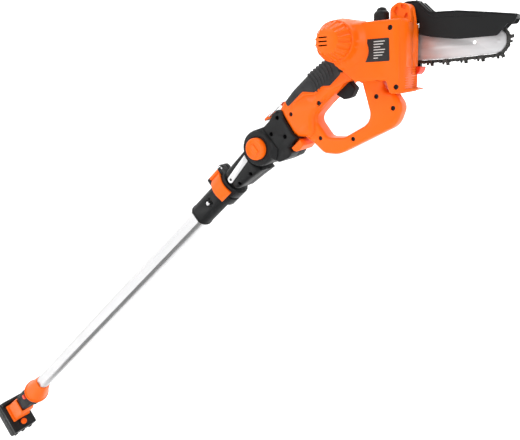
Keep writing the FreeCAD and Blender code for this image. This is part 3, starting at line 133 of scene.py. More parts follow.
class PoleSawSizes(bpy.types.PropertyGroup):
    chain_pitch: size("Chain pitch", "Distance between neighbouring rivets of the chain", 5.4)
    cutter_proud: size("Cutter height", "How far a cutter stands above the side links", 3.4)
    grip_rib: size("Grip rib", "Height of the ribs on the rubber grip", 0.9)
    knob_dish: size("Knob dish", "Depth of the dish in the tilt knob", 2.2)
    rim_step: size("Guard rim step", "Height of the step round the hand guard's rim", 1.6)
    plate_thick: size("Plate thickness", "Thickness of the rating plate", 0.5)
    rib_count: IntProperty(name="Grip ribs", description="Number of ribs on the rubber grip", default=7,
                           min=0)


# ================================ finishes =======================================================
class Finish:
    """A node material that reads Object coordinates, built up step by step."""

    def __init__(self, name, base, roughness, metallic=0.0):
        self.material = bpy.data.materials.new(name)
        self.material.use_nodes = True
        self.tree = self.material.node_tree
        self.shader = self.tree.nodes["Principled BSDF"]
        self.shader.inputs["Base Color"].default_value = (*base, 1)
        self.shader.inputs["Roughness"].default_value = roughness
        self.shader.inputs["Metallic"].default_value = metallic
        self.base = base
        self.where = self.tree.nodes.new("ShaderNodeTexCoord").outputs["Object"]
        self.normal = None

    def link(self, out, into):
        self.tree.links.new(out, into)

    def node(self, kind, **inputs):
        made = self.tree.nodes.new(kind)
        for name, value in inputs.items():
            made.inputs[name.replace("_", " ")].default_value = value
        return made

    def stretched(self, turn_y, scale):
        """Object coordinates turned about Y and stretched, for drawn or ground metal."""
        turned = self.node("ShaderNodeMapping", Rotation=(0, turn_y, 0))
        self.link(self.where, turned.inputs["Vector"])
        stretch = self.node("ShaderNodeMapping", Scale=scale)
        self.link(turned.outputs["Vector"], stretch.inputs["Vector"])
        return stretch.outputs["Vector"]

    def noise(self, scale, detail=4.0, where=None):
        made = self.node("ShaderNodeTexNoise", Scale=scale, Detail=detail)
        self.link(where or self.where, made.inputs["Vector"])
        return made.outputs["Fac"]

    def spread(self, source, low, high, start=0.3, stop=0.7):
        made = self.node("ShaderNodeMapRange")
        made.inputs["From Min"].default_value = start
        made.inputs["From Max"].default_value = stop
        made.inputs["To Min"].default_value = low
        made.inputs["To Max"].default_value = high
        self.link(source, made.inputs["Value"])
        return made.outputs["Result"]

    def tint(self, source, darker, start=0.35, stop=0.65):
        """Vary the base colour between a darker share of itself and itself."""
        ramp = self.tree.nodes.new("ShaderNodeValToRGB")
        ramp.color_ramp.elements[0].position = start
        ramp.color_ramp.elements[0].color = (*[channel * darker for channel in self.base], 1)
        ramp.color_ramp.elements[1].position = stop
        ramp.color_ramp.elements[1].color = (*self.base, 1)
        self.link(source, ramp.inputs["Fac"])
        self.link(ramp.outputs["Color"], self.shader.inputs["Base Color"])

    def shine(self, source, low, high):
        self.link(self.spread(source, low, high), self.shader.inputs["Roughness"])

    def bump(self, source, depth_mm, strength=1.0):
        made = self.node("ShaderNodeBump", Strength=strength, Distance=depth_mm * MM)
        self.link(source, made.inputs["Height"])
        if self.normal is not None:
            self.link(self.normal, made.inputs["Normal"])
        self.normal = made.outputs["Normal"]
        self.link(self.normal, self.shader.inputs["Normal"])


def moulded(name, base, roughness, grain_mm, depth_mm):
    """Injection-moulded plastic with a spark-eroded grain, faint flow marks and handling scuffs."""
    made = Finish(name, base, roughness)
    made.shader.inputs["Specular IOR Level"].default_value = 0.2
    made.tint(made.noise(9.0, 3.0), 0.93)
    made.shine(made.noise(38.0, 6.0), roughness - 0.05, roughness + 0.06)
    made.bump(made.noise(1.0 / (grain_mm * MM), 2.0), depth_mm, 0.5)
    scuffs = made.noise(60.0, 8.0, made.stretched(0.7, (1.0, 9.0, 9.0)))
    made.bump(made.spread(scuffs, 0.0, 1.0, 0.62, 0.70), 0.008, 0.25)
    return made.material


def soft_rubber(name, base):
    made = Finish(name, base, 0.78)
    made.shader.inputs["Sheen Weight"].default_value = 0.15
    made.shader.inputs["Sheen Roughness"].default_value = 0.5
    made.tint(made.noise(30.0, 4.0), 0.8)
    made.shine(made.noise(90.0, 4.0), 0.66, 0.86)
    made.bump(made.noise(1700.0, 2.0), 0.05, 0.7)
    return made.material


def drawn_aluminium(name, base):
    """Satin anodised tube: drawing lines run along the pole."""
    made = Finish(name, base, 0.30, 0.92)
    along = made.stretched(POLE_RISE, (1.5, 900.0, 900.0))
    lines = made.noise(1.0, 5.0, along)
    made.tint(made.noise(14.0, 4.0), 0.96)
    made.shine(lines, 0.25, 0.38)
    made.bump(lines, 0.012, 0.5)
    made.bump(made.noise(2600.0, 2.0), 0.006, 0.3)
    return made.material


def ground_steel(name, base):
    """Guide bar plate: fine grinding marks along the bar with a few rubbed streaks."""
    made = Finish(name, base, 0.46, 0.6)
    marks = made.noise(1.0, 6.0, made.stretched(0.0, (30.0, 1600.0, 1600.0)))
    made.tint(made.noise(40.0, 6.0, made.stretched(0.0, (0.4, 4.0, 4.0))), 0.86)
    made.shine(marks, 0.40, 0.56)
    made.bump(marks, 0.01, 0.5)
    return made.material


def plated_steel(name, base, roughness=0.22):
    made = Finish(name, base, roughness, 1.0)
    made.tint(made.noise(120.0, 4.0), 0.85)
    made.shine(made.noise(400.0, 4.0), roughness - 0.05, roughness + 0.12)
    made.bump(made.noise(900.0, 3.0), 0.008, 0.4)
    return made.material


def oiled_chain(name, base):
    made = Finish(name, base, 0.35, 0.85)
    made.tint(made.noise(260.0, 5.0), 0.45)
    made.shine(made.noise(500.0, 4.0), 0.22, 0.55)
    made.bump(made.noise(1500.0, 3.0), 0.02, 0.5)
    return made.material


def milky_plastic(name, base):
    made = Finish(name, base, 0.35)
    made.shader.inputs["Subsurface Weight"].default_value = 0.2
    made.tint(made.noise(40.0, 3.0), 0.9)
    made.shine(made.noise(90.0, 3.0), 0.3, 0.45)
    made.bump(made.noise(800.0, 2.0), 0.01, 0.3)
    return made.material


FINISHES = {}


def make_finishes(colours):
    FINISHES.update(
        anodised_tube=drawn_aluminium("satin_aluminium", colours.aluminium),
        orange_shell=moulded("orange_nylon", colours.orange, 0.36, 0.45, 0.02),
        red_orange=moulded("red_orange_nylon", colours.red_orange, 0.36, 0.45, 0.02),
        black_moulding=moulded("black_nylon", colours.black, 0.46, 0.5, 0.05),
        black_grip=moulded("black_grip_plastic", colours.rubber, 0.58, 0.35, 0.05),
        soft_rubber=soft_rubber("soft_rubber", colours.rubber),
        bright_steel=plated_steel("bright_steel", colours.steel),
        bar_steel=ground_steel("ground_bar_steel", colours.steel),
        chain_steel=oiled_chain("oiled_chain_steel", colours.chain),
        dark_screws=plated_steel("blackened_steel", (0.035, 0.035, 0.037), 0.4),
        motor_steel=plated_steel("plated_can_steel", (0.35, 0.35, 0.36), 0.3),
        tank_plastic=milky_plastic("milky_tank_plastic", (0.80, 0.78, 0.70)),
        cell_wrap=moulded("cell_wrap", (0.03, 0.10, 0.24), 0.3, 0.6, 0.01),
        plate_print=moulded("printed_plate", colours.plate, 0.42, 0.3, 0.01),
        pale_print=moulded("pale_print", (0.62, 0.60, 0.58), 0.5, 0.3, 0.01),
    )


# ================================ modelling tools ================================================
def deselect():
    if bpy.context.object is not None and bpy.context.object.mode != "OBJECT":
        bpy.ops.object.mode_set(mode="OBJECT")
    bpy.ops.object.select_all(action="DESELECT")


def pick(obj):
    deselect()
    obj.select_set(True)
    bpy.context.view_layer.objects.active = obj


def editing(obj, select="SELECT"):
    pick(obj)
    bpy.ops.object.mode_set(mode="EDIT")
    bpy.ops.mesh.select_mode(type="VERT")
    bpy.ops.mesh.select_all(action=select)


def done_editing():
    bpy.ops.object.mode_set(mode="OBJECT")


def named(name):
    made = bpy.context.object
    made.name = name
    made.data.name = name
    return made


def first_point(name, point):
    """A piece that starts as a single vertex at a millimetre place."""
    deselect()
    bpy.ops.mesh.primitive_plane_add(size=MM)
    made = named(name)
    editing(made)
    bpy.ops.mesh.merge(type="CENTER")
    bpy.ops.transform.translate(value=Vector(point) * MM)
    return made


def run_through(points):
    """Extrude the selected vertex from each millimetre point to the next."""
    for before, after in zip(points, points[1:]):
        step = (Vector(after) - Vector(before)) * MM
        bpy.ops.mesh.extrude_region_move(TRANSFORM_OT_translate={"value": step})


def rounded(corners, arc_step=0.22):
    """Points round a closed outline of (x, z) or (x, z, radius) corners, arcs cut into short chords."""
    points = []
    count = len(corners)
    for i, corner in enumerate(corners):
        here = Vector(corner[:2])
        radius = corner[2] if len(corner) > 2 else 0.0
        before = (Vector(corners[i - 1][:2]) - here).normalized()
        after = (Vector(corners[(i + 1) % count][:2]) - here).normalized()
        half = before.angle(after) / 2.0
        if radius == 0.0 or half > math.pi / 2 - 0.01:
            points.append(here)
            continue
        middle = here + (before + after).normalized() * (radius / math.sin(half))
        start = here + before * (radius / math.tan(half)) - middle
        sweep = math.pi - 2 * half
        side = 1.0 if before.x * after.y - before.y * after.x < 0 else -1.0
        chords = max(2, math.ceil(sweep / arc_step))
        for j in range(chords + 1):
            angle = side * sweep * j / chords
            turned = Vector((start.x * math.cos(angle) - start.y * math.sin(angle),
                             start.x * math.sin(angle) + start.y * math.cos(angle)))
            points.append(middle + turned)
    return points


def sheet_metal(name, corners, y0, y1):
    """A flat plate with a side outline, from y0 to y1, in millimetres."""
    points = [(p.x, y0, p.y) for p in rounded(corners)]
    made = first_point(name, points[0])
    run_through(points)
    bpy.ops.mesh.select_all(action="SELECT")
    bpy.ops.mesh.edge_face_add()
    bpy.ops.mesh.extrude_region_move(TRANSFORM_OT_translate={"value": (0, (y1 - y0) * MM, 0)})
    bpy.ops.mesh.select_all(action="SELECT")
    bpy.ops.mesh.normals_make_consistent(inside=False)
    done_editing()
    return made


def lathed(name, profile, centre=(0, 0, 0), axis=(0, 1, 0), steps=72):
    """A turned piece: profile is (radius, along the axis) points in millimetres."""
    spin_axis = Vector(axis)
    across = Vector((1, 0, 0)) if abs(spin_axis.x) < 0.5 else Vector((0, 0, 1))
    points = [Vector(centre) + across * radius + spin_axis * along for radius, along in profile]
    made = first_point(name, points[0])
    run_through(points)
    bpy.ops.mesh.select_all(action="SELECT")
    bpy.ops.mesh.spin(steps=steps, angle=2 * math.pi, center=Vector(centre) * MM, axis=spin_axis)
    bpy.ops.mesh.select_all(action="SELECT")
    bpy.ops.mesh.remove_doubles(threshold=1e-6)
    bpy.ops.mesh.normals_make_consistent(inside=False)
    done_editing()
    return made


def block(name, low, high):
    """A box between two millimetre corners, to be bevelled or used to cut."""
    deselect()
    middle = (Vector(low) + Vector(high)) / 2 * MM
    bpy.ops.mesh.primitive_cube_add(size=1.0, location=middle, scale=(Vector(high) - Vector(low)) * MM)
    made = named(name)
    bpy.ops.object.transform_apply(location=True, rotation=True, scale=True)
    return made


def peg(name, start, end, radius, sides=32):
    """A round bar between two millimetre points."""
    deselect()
    run = (Vector(end) - Vector(start)) * MM
    turn = run.to_track_quat("Z", "Y").to_euler()
    bpy.ops.mesh.primitive_cylinder_add(vertices=sides, radius=radius * MM, depth=run.length,
                                        location=(Vector(start) + Vector(end)) / 2 * MM, rotation=turn)
    made = named(name)
    bpy.ops.object.transform_apply(location=True, rotation=True, scale=True)
    return made


def with_modifier(obj, kind, **settings):
    pick(obj)
    modifier = obj.modifiers.new(kind.lower(), kind)
    for name, value in settings.items():
        setattr(modifier, name, value)
    bpy.ops.object.modifier_apply(modifier=modifier.name)
    return obj


def eased(obj, width_mm, segments=3, angle=35.0):
    """Round every edge sharper than an angle."""
    return with_modifier(obj, "BEVEL", width=width_mm * MM, segments=segments, limit_method="ANGLE",
                         angle_limit=math.radians(angle), use_clamp_overlap=True)


def cut_away(obj, *cutters):
    for cutter in cutters:
        with_modifier(obj, "BOOLEAN", operation="DIFFERENCE", object=cutter, solver="EXACT")
        bpy.data.objects.remove(cutter, do_unlink=True)
    return obj


def joined(name, pieces):
    deselect()
    for piece in pieces:
        piece.select_set(True)
    bpy.context.view_layer.objects.active = pieces[0]
    bpy.ops.object.join()
    return named(name)


def twin(obj, matrix):
    """A copy of a piece with its own mesh, moved by a matrix."""
    pick(obj)
    bpy.ops.object.duplicate()
    made = bpy.context.object
    made.matrix_world = matrix
    bpy.ops.object.transform_apply(location=True, rotation=True, scale=True)
    return made


def refined(node, name, width_mm=0.0):
    """A copy of a CAD node with its loose triangles merged, ready to be cut and eased."""
    pick(frame["nodes"][node])
    bpy.ops.object.duplicate()
    made = named(name)
    made.parent = None
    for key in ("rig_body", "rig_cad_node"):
        del made[key]
    editing(made)
    bpy.ops.mesh.remove_doubles(threshold=2e-6)
    if width_mm:
        bpy.ops.mesh.dissolve_limited(angle_limit=math.radians(0.8))
    done_editing()
    if width_mm:
        eased(made, width_mm, 2, 40.0)
    return made


def put(obj, where, body, slot_name, *nodes, material=None, smooth=32.0):
    """Finish a piece: place it from its local frame, shade it, and tie it to its body and slot."""
    pick(obj)
    if where is not None:
        obj.matrix_world = where
        bpy.ops.object.transform_apply(location=True, rotation=True, scale=True)
    bpy.ops.object.shade_smooth_by_angle(angle=math.radians(smooth))
    obj.data.materials.clear()
    obj.data.materials.append(material or FINISHES[slot_name])
    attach(obj, body)
    if nodes:
        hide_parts(*nodes)
    return obj


# ================================ shapes shared by several pieces ================================
def moved(obj, matrix):
    """Take a piece from its local frame to the world."""
    pick(obj)
    obj.matrix_world = matrix
    bpy.ops.object.transform_apply(location=True, rotation=True, scale=True)
    return obj


SWAP_XY = Matrix(((0, 1, 0, 0), (1, 0, 0, 0), (0, 0, 1, 0), (0, 0, 0, 1)))
SWAP_YZ = Matrix(((1, 0, 0, 0), (0, 0, 1, 0), (0, 1, 0, 0), (0, 0, 0, 1)))


def upended(obj, swap):
    """Exchange two axes of a piece and keep its normals outward."""
    moved(obj, swap)
    editing(obj)
    bpy.ops.mesh.normals_make_consistent(inside=False)
    done_editing()
    return obj


def overlap_of(obj, other):
    with_modifier(obj, "BOOLEAN", operation="INTERSECT", object=other, solver="EXACT")
    bpy.data.objects.remove(other, do_unlink=True)
    return obj


def round_bead(name, centre, radius, thick, axis=(0, 1, 0), steps=72):
    """A half-sunk ring round an axis."""
    profile = []
    for i in range(13):
        angle = 2 * math.pi * i / 12
        profile.append((radius + thick * math.cos(angle), thick * math.sin(angle)))
    return lathed(name, profile, centre, axis, steps)


def ribbon(name, path, thick, y0, y1):
    """A strip of even thickness that follows a side path of (x, z) points, in millimetres."""
    outer = []
    inner = []
    for i, place in enumerate(path):
        before = Vector(path[max(i - 1, 0)])
        after = Vector(path[min(i + 1, len(path) - 1)])
        run = (after - before).normalized()
        square = Vector((-run.y, run.x)) * thick / 2
        outer.append(tuple(Vector(place) + square))
        inner.append(tuple(Vector(place) - square))
    return sheet_metal(name, outer + inner[::-1], y0, y1)


def spread_round(count):
    return [2 * math.pi * i / count for i in range(count)]


NOSE = joint_place("nose_turn")
SPINDLE = joint_place("spindle_turn")
MOTOR = joint_place("motor_turn")
BAR_SPAN = node_span("guide_bar", SAW, 2)
BAR_SIDES = node_span("guide_bar", SAW, 1)
BAR_Y = sum(BAR_SIDES) / 2
CAP_SIDES = node_span("motor_cap", SAW, 1)
GUARD_SIDES = node_span("chain_guard", SAW, 1)
KNOB_SIDES = node_span("knuckle_knob", SAW, 1)
HOUSING_NEAR = -36.0
HOUSING_FRONT = 239.0
GRIP_HALF = node_span("rubber_grip", SAW, 1)[1]


def node_middle(node):
    """Middle of a CAD node's box in the world."""
    places = [vertex.co for vertex in frame["nodes"][node].data.vertices]
    low = Vector(min(place[i] for place in places) for i in range(3))
    high = Vector(max(place[i] for place in places) for i in range(3))
    return (low + high) / 2


# ================================ operators ======================================================
class PoleSawOperator:
    bl_options = {"REGISTER", "UNDO"}

    @property
    def sizes(self):
        return bpy.context.scene.pole_saw_sizes

    def slot_of(self, node):
        return SLOTS[node]

    def body_of(self, node):
        return frame["nodes"][node]["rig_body"]

    def ease_nodes(self, width_mm, *nodes):
        """Put copies of CAD nodes in their place, with every sharp edge rounded."""
        for node in nodes:
            copy = refined(node, node + "_eased", width_mm)
            put(copy, None, self.body_of(node), self.slot_of(node), node)


class POLESAW_OT_finishes(PoleSawOperator, bpy.types.Operator):
    """Give every carried-over node the finish of its slot"""
    bl_idname = "pole_saw.finishes"
    bl_label = "Finishes"

    def execute(self, context):
        make_finishes(context.scene.pole_saw_colours)
        for part in frame["record"]["subparts"]:
            node = frame["nodes"][part["node"]]
            node.data.materials.clear()
            node.data.materials.append(FINISHES[part["material_slot"]])
        return {"FINISHED"}


class POLESAW_OT_casing(PoleSawOperator, bpy.types.Operator):
    """Cut the saw casing's ear pockets, front ribs and seam into copies of its two halves"""
    bl_idname = "pole_saw.casing"
    bl_label = "Saw casing"

    def execute(self, context):
        near = refined("saw_casing_near", "casing_near_half")
        with_modifier(near, "BOOLEAN", operation="UNION", object=self.corner_wall(), solver="EXACT")
        bpy.data.objects.remove(bpy.data.objects["corner_wall"], do_unlink=True)
        cut_away(near, self.front_ribs(), self.ear_pockets(), self.barrel_seam())
        put(near, None, "head", "orange_shell", "saw_casing_near")
        far = refined("saw_casing_far", "casing_far_half")
        cut_away(far, self.front_ribs())
        put(far, None, "head", "orange_shell", "saw_casing_far")
        return {"FINISHED"}

    def corner_wall(self):
        """The wall behind the sloped front corner of the near half."""
        slope = [(233.85, -34.4), (236.77, -28.43), (235.4, -27.9), (233.1, -32.6)]
        wall = upended(sheet_metal("corner_wall", slope, 81.5, 168.6), SWAP_YZ)
        return moved(wall, SAW)

    def front_ribs(self):
        """Fine level grooves low on the housing's front, which wrap round its near corner."""
        grooves = []
        for i in range(9):
            z = 86.0 + 3.2 * i
            grooves.append(block("groove", (HOUSING_FRONT - 0.7, -30, z), (HOUSING_FRONT + 1, 18, z + 1.1)))
        return moved(joined("front_grooves", grooves), SAW)

    def ear_pockets(self):
        """Hollows between the ribs of the ear that carries the guard's pin."""
        outlines = [
            [(216, 183, 1.5), (220.5, 190, 2), (223.5, 185, 1), (220, 177, 1)],
            [(226, 186.5, 1), (225, 191.5, 1.5), (234, 188, 2), (231, 183.5, 1)],
            [(231, 177, 1), (233.5, 181, 1), (236, 174, 1.5), (229.5, 173.5, 1)],
        ]
        pockets = [sheet_metal("pocket", outline, -14, -9.5) for outline in outlines]
        return moved(joined("ear_pockets", pockets), SAW)

    def barrel_seam(self):
        """A fine groove round the motor barrel where the cap meets it."""
        section = [(25.4, -58.4), (34, -58.4), (34, -57.6), (25.4, -57.6), (25.4, -58.4)]
        groove = lathed("barrel_seam", section, (MOTOR[0], 0, MOTOR[1]))
        return moved(groove, SAW)


class POLESAW_OT_motor_cap(PoleSawOperator, bpy.types.Operator):
    """Turn the motor cap, with scalloped flutes and three vents"""
    bl_idname = "pole_saw.motor_cap"
    bl_label = "Motor cap"

    def execute(self, context):
        end, rim = CAP_SIDES
        profile = [(0, end), (9, end), (14.4, end + 0.4), (17.2, end + 1.7), (19.0, end + 4.2),
                   (22.6, end + 11.5), (24.9, end + 16.2), (25.5, end + 18.2), (25.5, rim), (22.5, rim),
                   (21.5, rim - 4), (14.5, end + 3.4), (0, end + 3.0)]
        cap = lathed("motor_end_cap", profile, (MOTOR[0], 0, MOTOR[1]), steps=96)
        flutes = []
        for angle in spread_round(16):
            out = Vector((math.cos(angle), 0, math.sin(angle)))
            start = Vector((MOTOR[0], end - 3, MOTOR[1])) + out * 18.2
            stop = Vector((MOTOR[0], rim - 1, MOTOR[1])) + out * 28.6
            flutes.append(peg("flute", start, stop, 4.4, 28))
        cut_away(cap, joined("flutes", flutes))
        vents = []
        for i in range(3):
            z = MOTOR[1] + 5.0 - 5.0 * i
            left = MOTOR[0] - 12
            right = MOTOR[0] + 1
            slot = [(left, z - 0.9, 0.85), (right, z - 0.9, 0.85), (right, z + 0.9, 0.85),
                    (left, z + 0.9, 0.85)]
            vents.append(sheet_metal("vent", slot, end - 1, end + 6))
        cut_away(cap, joined("vents", vents))
        eased(cap, 0.35, 2, 38.0)
        put(cap, SAW, "head", "orange_shell", "motor_cap")
        return {"FINISHED"}


class POLESAW_OT_rating_plate(PoleSawOperator, bpy.types.Operator):
    """Set the dark rating plate beside the motor barrel, with plain pale bars and no writing"""
    bl_idname = "pole_saw.rating_plate"
    bl_label = "Rating plate"

    def execute(self, context):
        thick = self.sizes.plate_thick / MM
        face = HOUSING_NEAR - thick
        top = 150.0
        foot = 121.5
        hollow = []
        for i in range(9):
            share = i / 8
            z = foot + (top - foot) * share
            hollow.append((188.0 + 4.5 * math.sin(math.pi * share), z))
        outline = hollow + [(220, top, 1.5), (221, foot, 1.5)]
        plate = sheet_metal("rating_plate", outline, face, HOUSING_NEAR + 0.5)
        eased(plate, 0.15, 2)
        put(plate, SAW, "head", "orange_shell", material=FINISHES["plate_print"])
        bars = []
        for i, reach in enumerate((15.0, 13.0, 9.0, 15.5, 14.0, 12.0, 6.0)):
            z = 146.4 - 3.4 * i
            bars.append(block("bar", (199.5, face - 0.12, z - 0.5), (199.5 + reach, face + 0.2, z + 0.5)))
        put(joined("rating_bars", bars), SAW, "head", "orange_shell", material=FINISHES["pale_print"])
        return {"FINISHED"}


class POLESAW_OT_rubber_grip(PoleSawOperator, bpy.types.Operator):
    """Carry over the soft grip, raise its rounded ribs and lay in the thin orange line"""
    bl_idname = "pole_saw.rubber_grip"
    bl_label = "Rubber grip"

    def execute(self, context):
        skin = refined("rubber_grip", "grip_skin")
        put(skin, None, "head", "soft_rubber", "rubber_grip")
        proud = self.sizes.grip_rib / MM
        half = GRIP_HALF + proud
        back = [(96, -8), (96, 26.3 + proud), (104, 26.5 + proud, 60), (141, 25.5 + proud, 60),
                (176, 21 + proud, 20), (186, 17 + proud), (186, -8)]
        body = eased(sheet_metal("grip_ribs", back, -half, half), 8.5, 6, 60.0)
        strips = []
        for i in range(self.sizes.rib_count):
            s = 140.0 + 5.6 * i
            lean = [(s - 5, -5), (s - 3.2, -5), (s + 1.8, 8, 8), (s + 0.6, 34), (s - 1.2, 34), (s, 8, 8)]
            strips.append(sheet_metal("strip", lean, -30, 30))
        overlap_of(body, joined("strips", strips))
        put(eased(body, 0.3, 2), POLE, "head", "soft_rubber")
        path = [(96, 9.5), (108, 8.5), (117, 6.2), (124, 1.5), (129, -3.2), (136, -5.6)]
        line = ribbon("grip_inlay", path, 1.7, -GRIP_HALF - 0.35, -GRIP_HALF + 1.5)
        put(line, POLE, "head", "orange_shell")
        return {"FINISHED"}


class POLESAW_OT_oil_cap(PoleSawOperator, bpy.types.Operator):
    """Turn the oil cap with its domed top and cut its grip flutes"""
    bl_idname = "pole_saw.oil_cap"
    bl_label = "Oil cap"

    def execute(self, context):
        low, high = node_span("oil_cap", SAW, 2)
        x = sum(node_span("oil_cap", SAW, 0)) / 2
        foot = low + 8.4
        profile = [(0, low), (5.3, low), (5.3, foot), (10.5, foot), (10.5, foot + 1.2), (10.2, foot + 10.5),
                   (9.2, foot + 12.5), (7.8, foot + 13.6), (7.0, foot + 14.2), (6.6, foot + 15.6),
                   (5.2, foot + 17.6), (3.0, high - 0.6), (0, high)]
        cap = lathed("oil_filler_cap", profile, (x, 0, 0), (0, 0, 1))
        flutes = []
        for angle in spread_round(16):
            across = (x + 11.2 * math.cos(angle), 11.2 * math.sin(angle))
            flutes.append(peg("flute", (*across, foot + 2), (*across, high), 1.5, 16))
        cut_away(cap, joined("cap_flutes", flutes))
        put(eased(cap, 0.3, 2), SAW, "cap", "black_moulding", "oil_cap")
        return {"FINISHED"}


class POLESAW_OT_chain(PoleSawOperator, bpy.types.Operator):
    """Link up the saw chain round the bar: tie straps, drive links, cutters and rivets"""
    bl_idname = "pole_saw.chain"
    bl_label = "Saw chain"

    def execute(self, context):
        self.half = self.sizes.chain_pitch / MM / 2
        rivets = self.rivets(2 * self.half)
        straps = self.side_links()
        drive = self.drive_link()
        links = []
        for i, here in enumerate(rivets):
            following = rivets[(i + 1) % len(rivets)]
            kind = drive if i % 2 else straps[(0, 1, 0, 2)[i // 2 % 4]]
            links.append(twin(kind, self.place(here, following)))
        for kind in straps + [drive]:
            bpy.data.objects.remove(kind, do_unlink=True)
        put(joined("chain_loop", links), SAW, "head", "chain_steel", "saw_chain")
        return {"FINISHED"}

    def rivets(self, pitch):
        """Rivet places, evenly spaced round the path that the chain takes."""
        out = 2.9
        half = sum((BAR_SPAN[1], -BAR_SPAN[0])) / 2 + out
        tail = 12.6 + out
        nose = NOSE[0] + 14.0 + out
        z = NOSE[1]
        wide = 14.0 + out
        corners = [(SPINDLE[0] - tail, z + tail, tail - 0.1), (240, z + half, 60), (276, z + half, 80),
                   (nose, z + wide, wide - 0.2), (nose, z - wide, wide - 0.2), (276, z - half, 80),
                   (240, z - half, 60), (SPINDLE[0] - tail, z - tail, tail - 0.1)]
        track = rounded(corners, 0.05)
        track.append(track[0])
        lengths = [(b - a).length for a, b in zip(track, track[1:])]
        whole = sum(lengths)
        count = 2 * round(whole / pitch / 2)
        places = []
        passed = 0.0
        for a, b, length in zip(track, track[1:], lengths):
            while len(places) < count and whole * len(places) / count <= passed + length:
                share = (whole * len(places) / count - passed) / max(length, 1e-9)
                places.append(a.lerp(b, share))
            passed += length
        return places

    def place(self, here, following):
        run = (following - here).normalized()
        middle = (here + following) / 2 * MM
        return Matrix(((run.x, 0, -run.y, middle.x), (0, 1, 0, BAR_Y * MM), (run.y, 0, run.x, middle.y),
                       (0, 0, 0, 1)))

    def plate_sides(self, side):
        """Inner and outer face of a side plate, lower one first."""
        return sorted((1.5 * side, 2.6 * side))

    def pins(self):
        return [peg("rivet", (x, -3.0, 0), (x, 3.0, 0), 1.15, 16) for x in (-self.half, self.half)]

    def strap(self, side):
        reach = self.half + 1.9
        outline = [(-reach, -2.7, 1.9), (-reach, 1.9, 1.8), (0, 1.3, 4), (reach, 1.9, 1.8),
                   (reach, -2.7, 1.9), (0, -2.4, 4)]
        return sheet_metal("strap", outline, *self.plate_sides(side))

    def cutter(self, side):
        """Side plate with a raised tooth at one end and a depth gauge at the other."""
        reach = self.half + 1.9
        top = 2.2 + self.sizes.cutter_proud / MM
        outline = [(-reach, -2.7, 1.9), (-reach - 0.4, top - 0.4, 0.5), (-0.9, top, 0.3), (-0.2, 2.0, 0.8),
                   (1.4, 1.9, 0.6), (2.0, top - 0.9, 1.0), (reach, top - 1.4, 1.0), (reach, -2.7, 1.9)]
        plate = sheet_metal("cutter", outline, *self.plate_sides(side))
        sides = sorted((-0.9 * side, 2.6 * side))
        return [plate, block("tooth", (-reach - 0.4, sides[0], top - 0.9), (-0.9, sides[1], top))]

    def side_links(self):
        """Plain pair, pair with a left cutter, and pair with a right cutter."""
        plain = joined("plain_link", [self.strap(-1), self.strap(1)] + self.pins())
        kinds = [plain]
        for side in (-1, 1):
            kinds.append(joined("cutter_link", [self.strap(-side)] + self.cutter(side) + self.pins()))
        return kinds

    def drive_link(self):
        reach = self.half + 1.8
        outline = [(-reach, 2.1, 1.8), (-1.2, 1.4, 2), (1.2, 2.4, 1), (reach, 2.1, 1.8), (reach, -1.9, 1.6),
                   (1.2, -2.5, 0.8), (-1.2, -2.5, 0.8), (-reach, -1.9, 1.6)]
        return sheet_metal("drive_link", outline, -0.85, 0.85)


class POLESAW_OT_bar(PoleSawOperator, bpy.types.Operator):
    """Ease the guide bar's edges and set the rivets of its nose wheel"""
    bl_idname = "pole_saw.bar"
    bl_label = "Guide bar"

    def execute(self, context):
        bar = refined("guide_bar", "bar_plate", 0.25)
        put(bar, None, "head", "bar_steel", "guide_bar")
        rivets = []
        for i, angle in enumerate((math.pi, math.pi * 0.78, math.pi * 1.22)):
            x = NOSE[0] + 4.5 + 4.2 * math.cos(angle) * (1 if i else 0)
            z = NOSE[1] + 4.2 * math.sin(angle)
            for side, way in zip(BAR_SIDES, (1, -1)):
                y0, y1 = sorted((side - 0.25 * way, side + 0.4 * way))
                rivets.append(peg("rivet", (x, y0, z), (x, y1, z), 2.3 if i == 0 else 0.9, 28))
        put(eased(joined("nose_rivets", rivets), 0.12, 2), SAW, "head", "bar_steel")
        return {"FINISHED"}


class POLESAW_OT_guard(PoleSawOperator, bpy.types.Operator):
    """Carry over the chain guard and add its top flange, a lower line, its crest ribs and its slope ribs"""
    bl_idname = "pole_saw.guard"
    bl_label = "Chain guard"

    def execute(self, context):
        shell = refined("chain_guard", "guard_shell")
        put(shell, None, "guard", "black_moulding", "chain_guard")
        near, far = GUARD_SIDES
        crest = [(218.2, 190), (221, 194.3), (224, 195.4), (236, 194.8), (240, 193), (252.5, 181),
                 (257, 178.9), (275, 178.1), (290, 177.3), (325, 172.0), (359, 166.4)]
        flange = eased(ribbon("guard_flange", crest, 1.5, near - 1.0, far + 1.0), 0.4, 2)
        trim = [flange]
        lower = [(243, 186.5), (255.5, 174.6), (260, 173.2), (276, 172.6), (291, 171.9), (322, 167.4)]
        trim.append(eased(ribbon("guard_line", lower, 1.0, near - 0.6, near + 1), 0.3, 2))
        for i in range(4):
            x = 224.5 + 3.6 * i
            rib = block("crest_rib", (x, near + 2, 194.5), (x + 1.3, far - 2, 196.4))
            trim.append(eased(rib, 0.5, 3))
        rim = [(239.4, 191.4), (251.5, 179.6), (256.4, 177.2)]
        for y in (near + 4.5, far - 6.0):
            path = [(x + 1.6, z + 1.8) for x, z in rim]
            trim.append(eased(ribbon("slope_rib", path, 2.4, y, y + 1.5), 0.4, 2))
        put(joined("guard_trim", trim), SAW, "guard", "black_moulding")
        return {"FINISHED"}


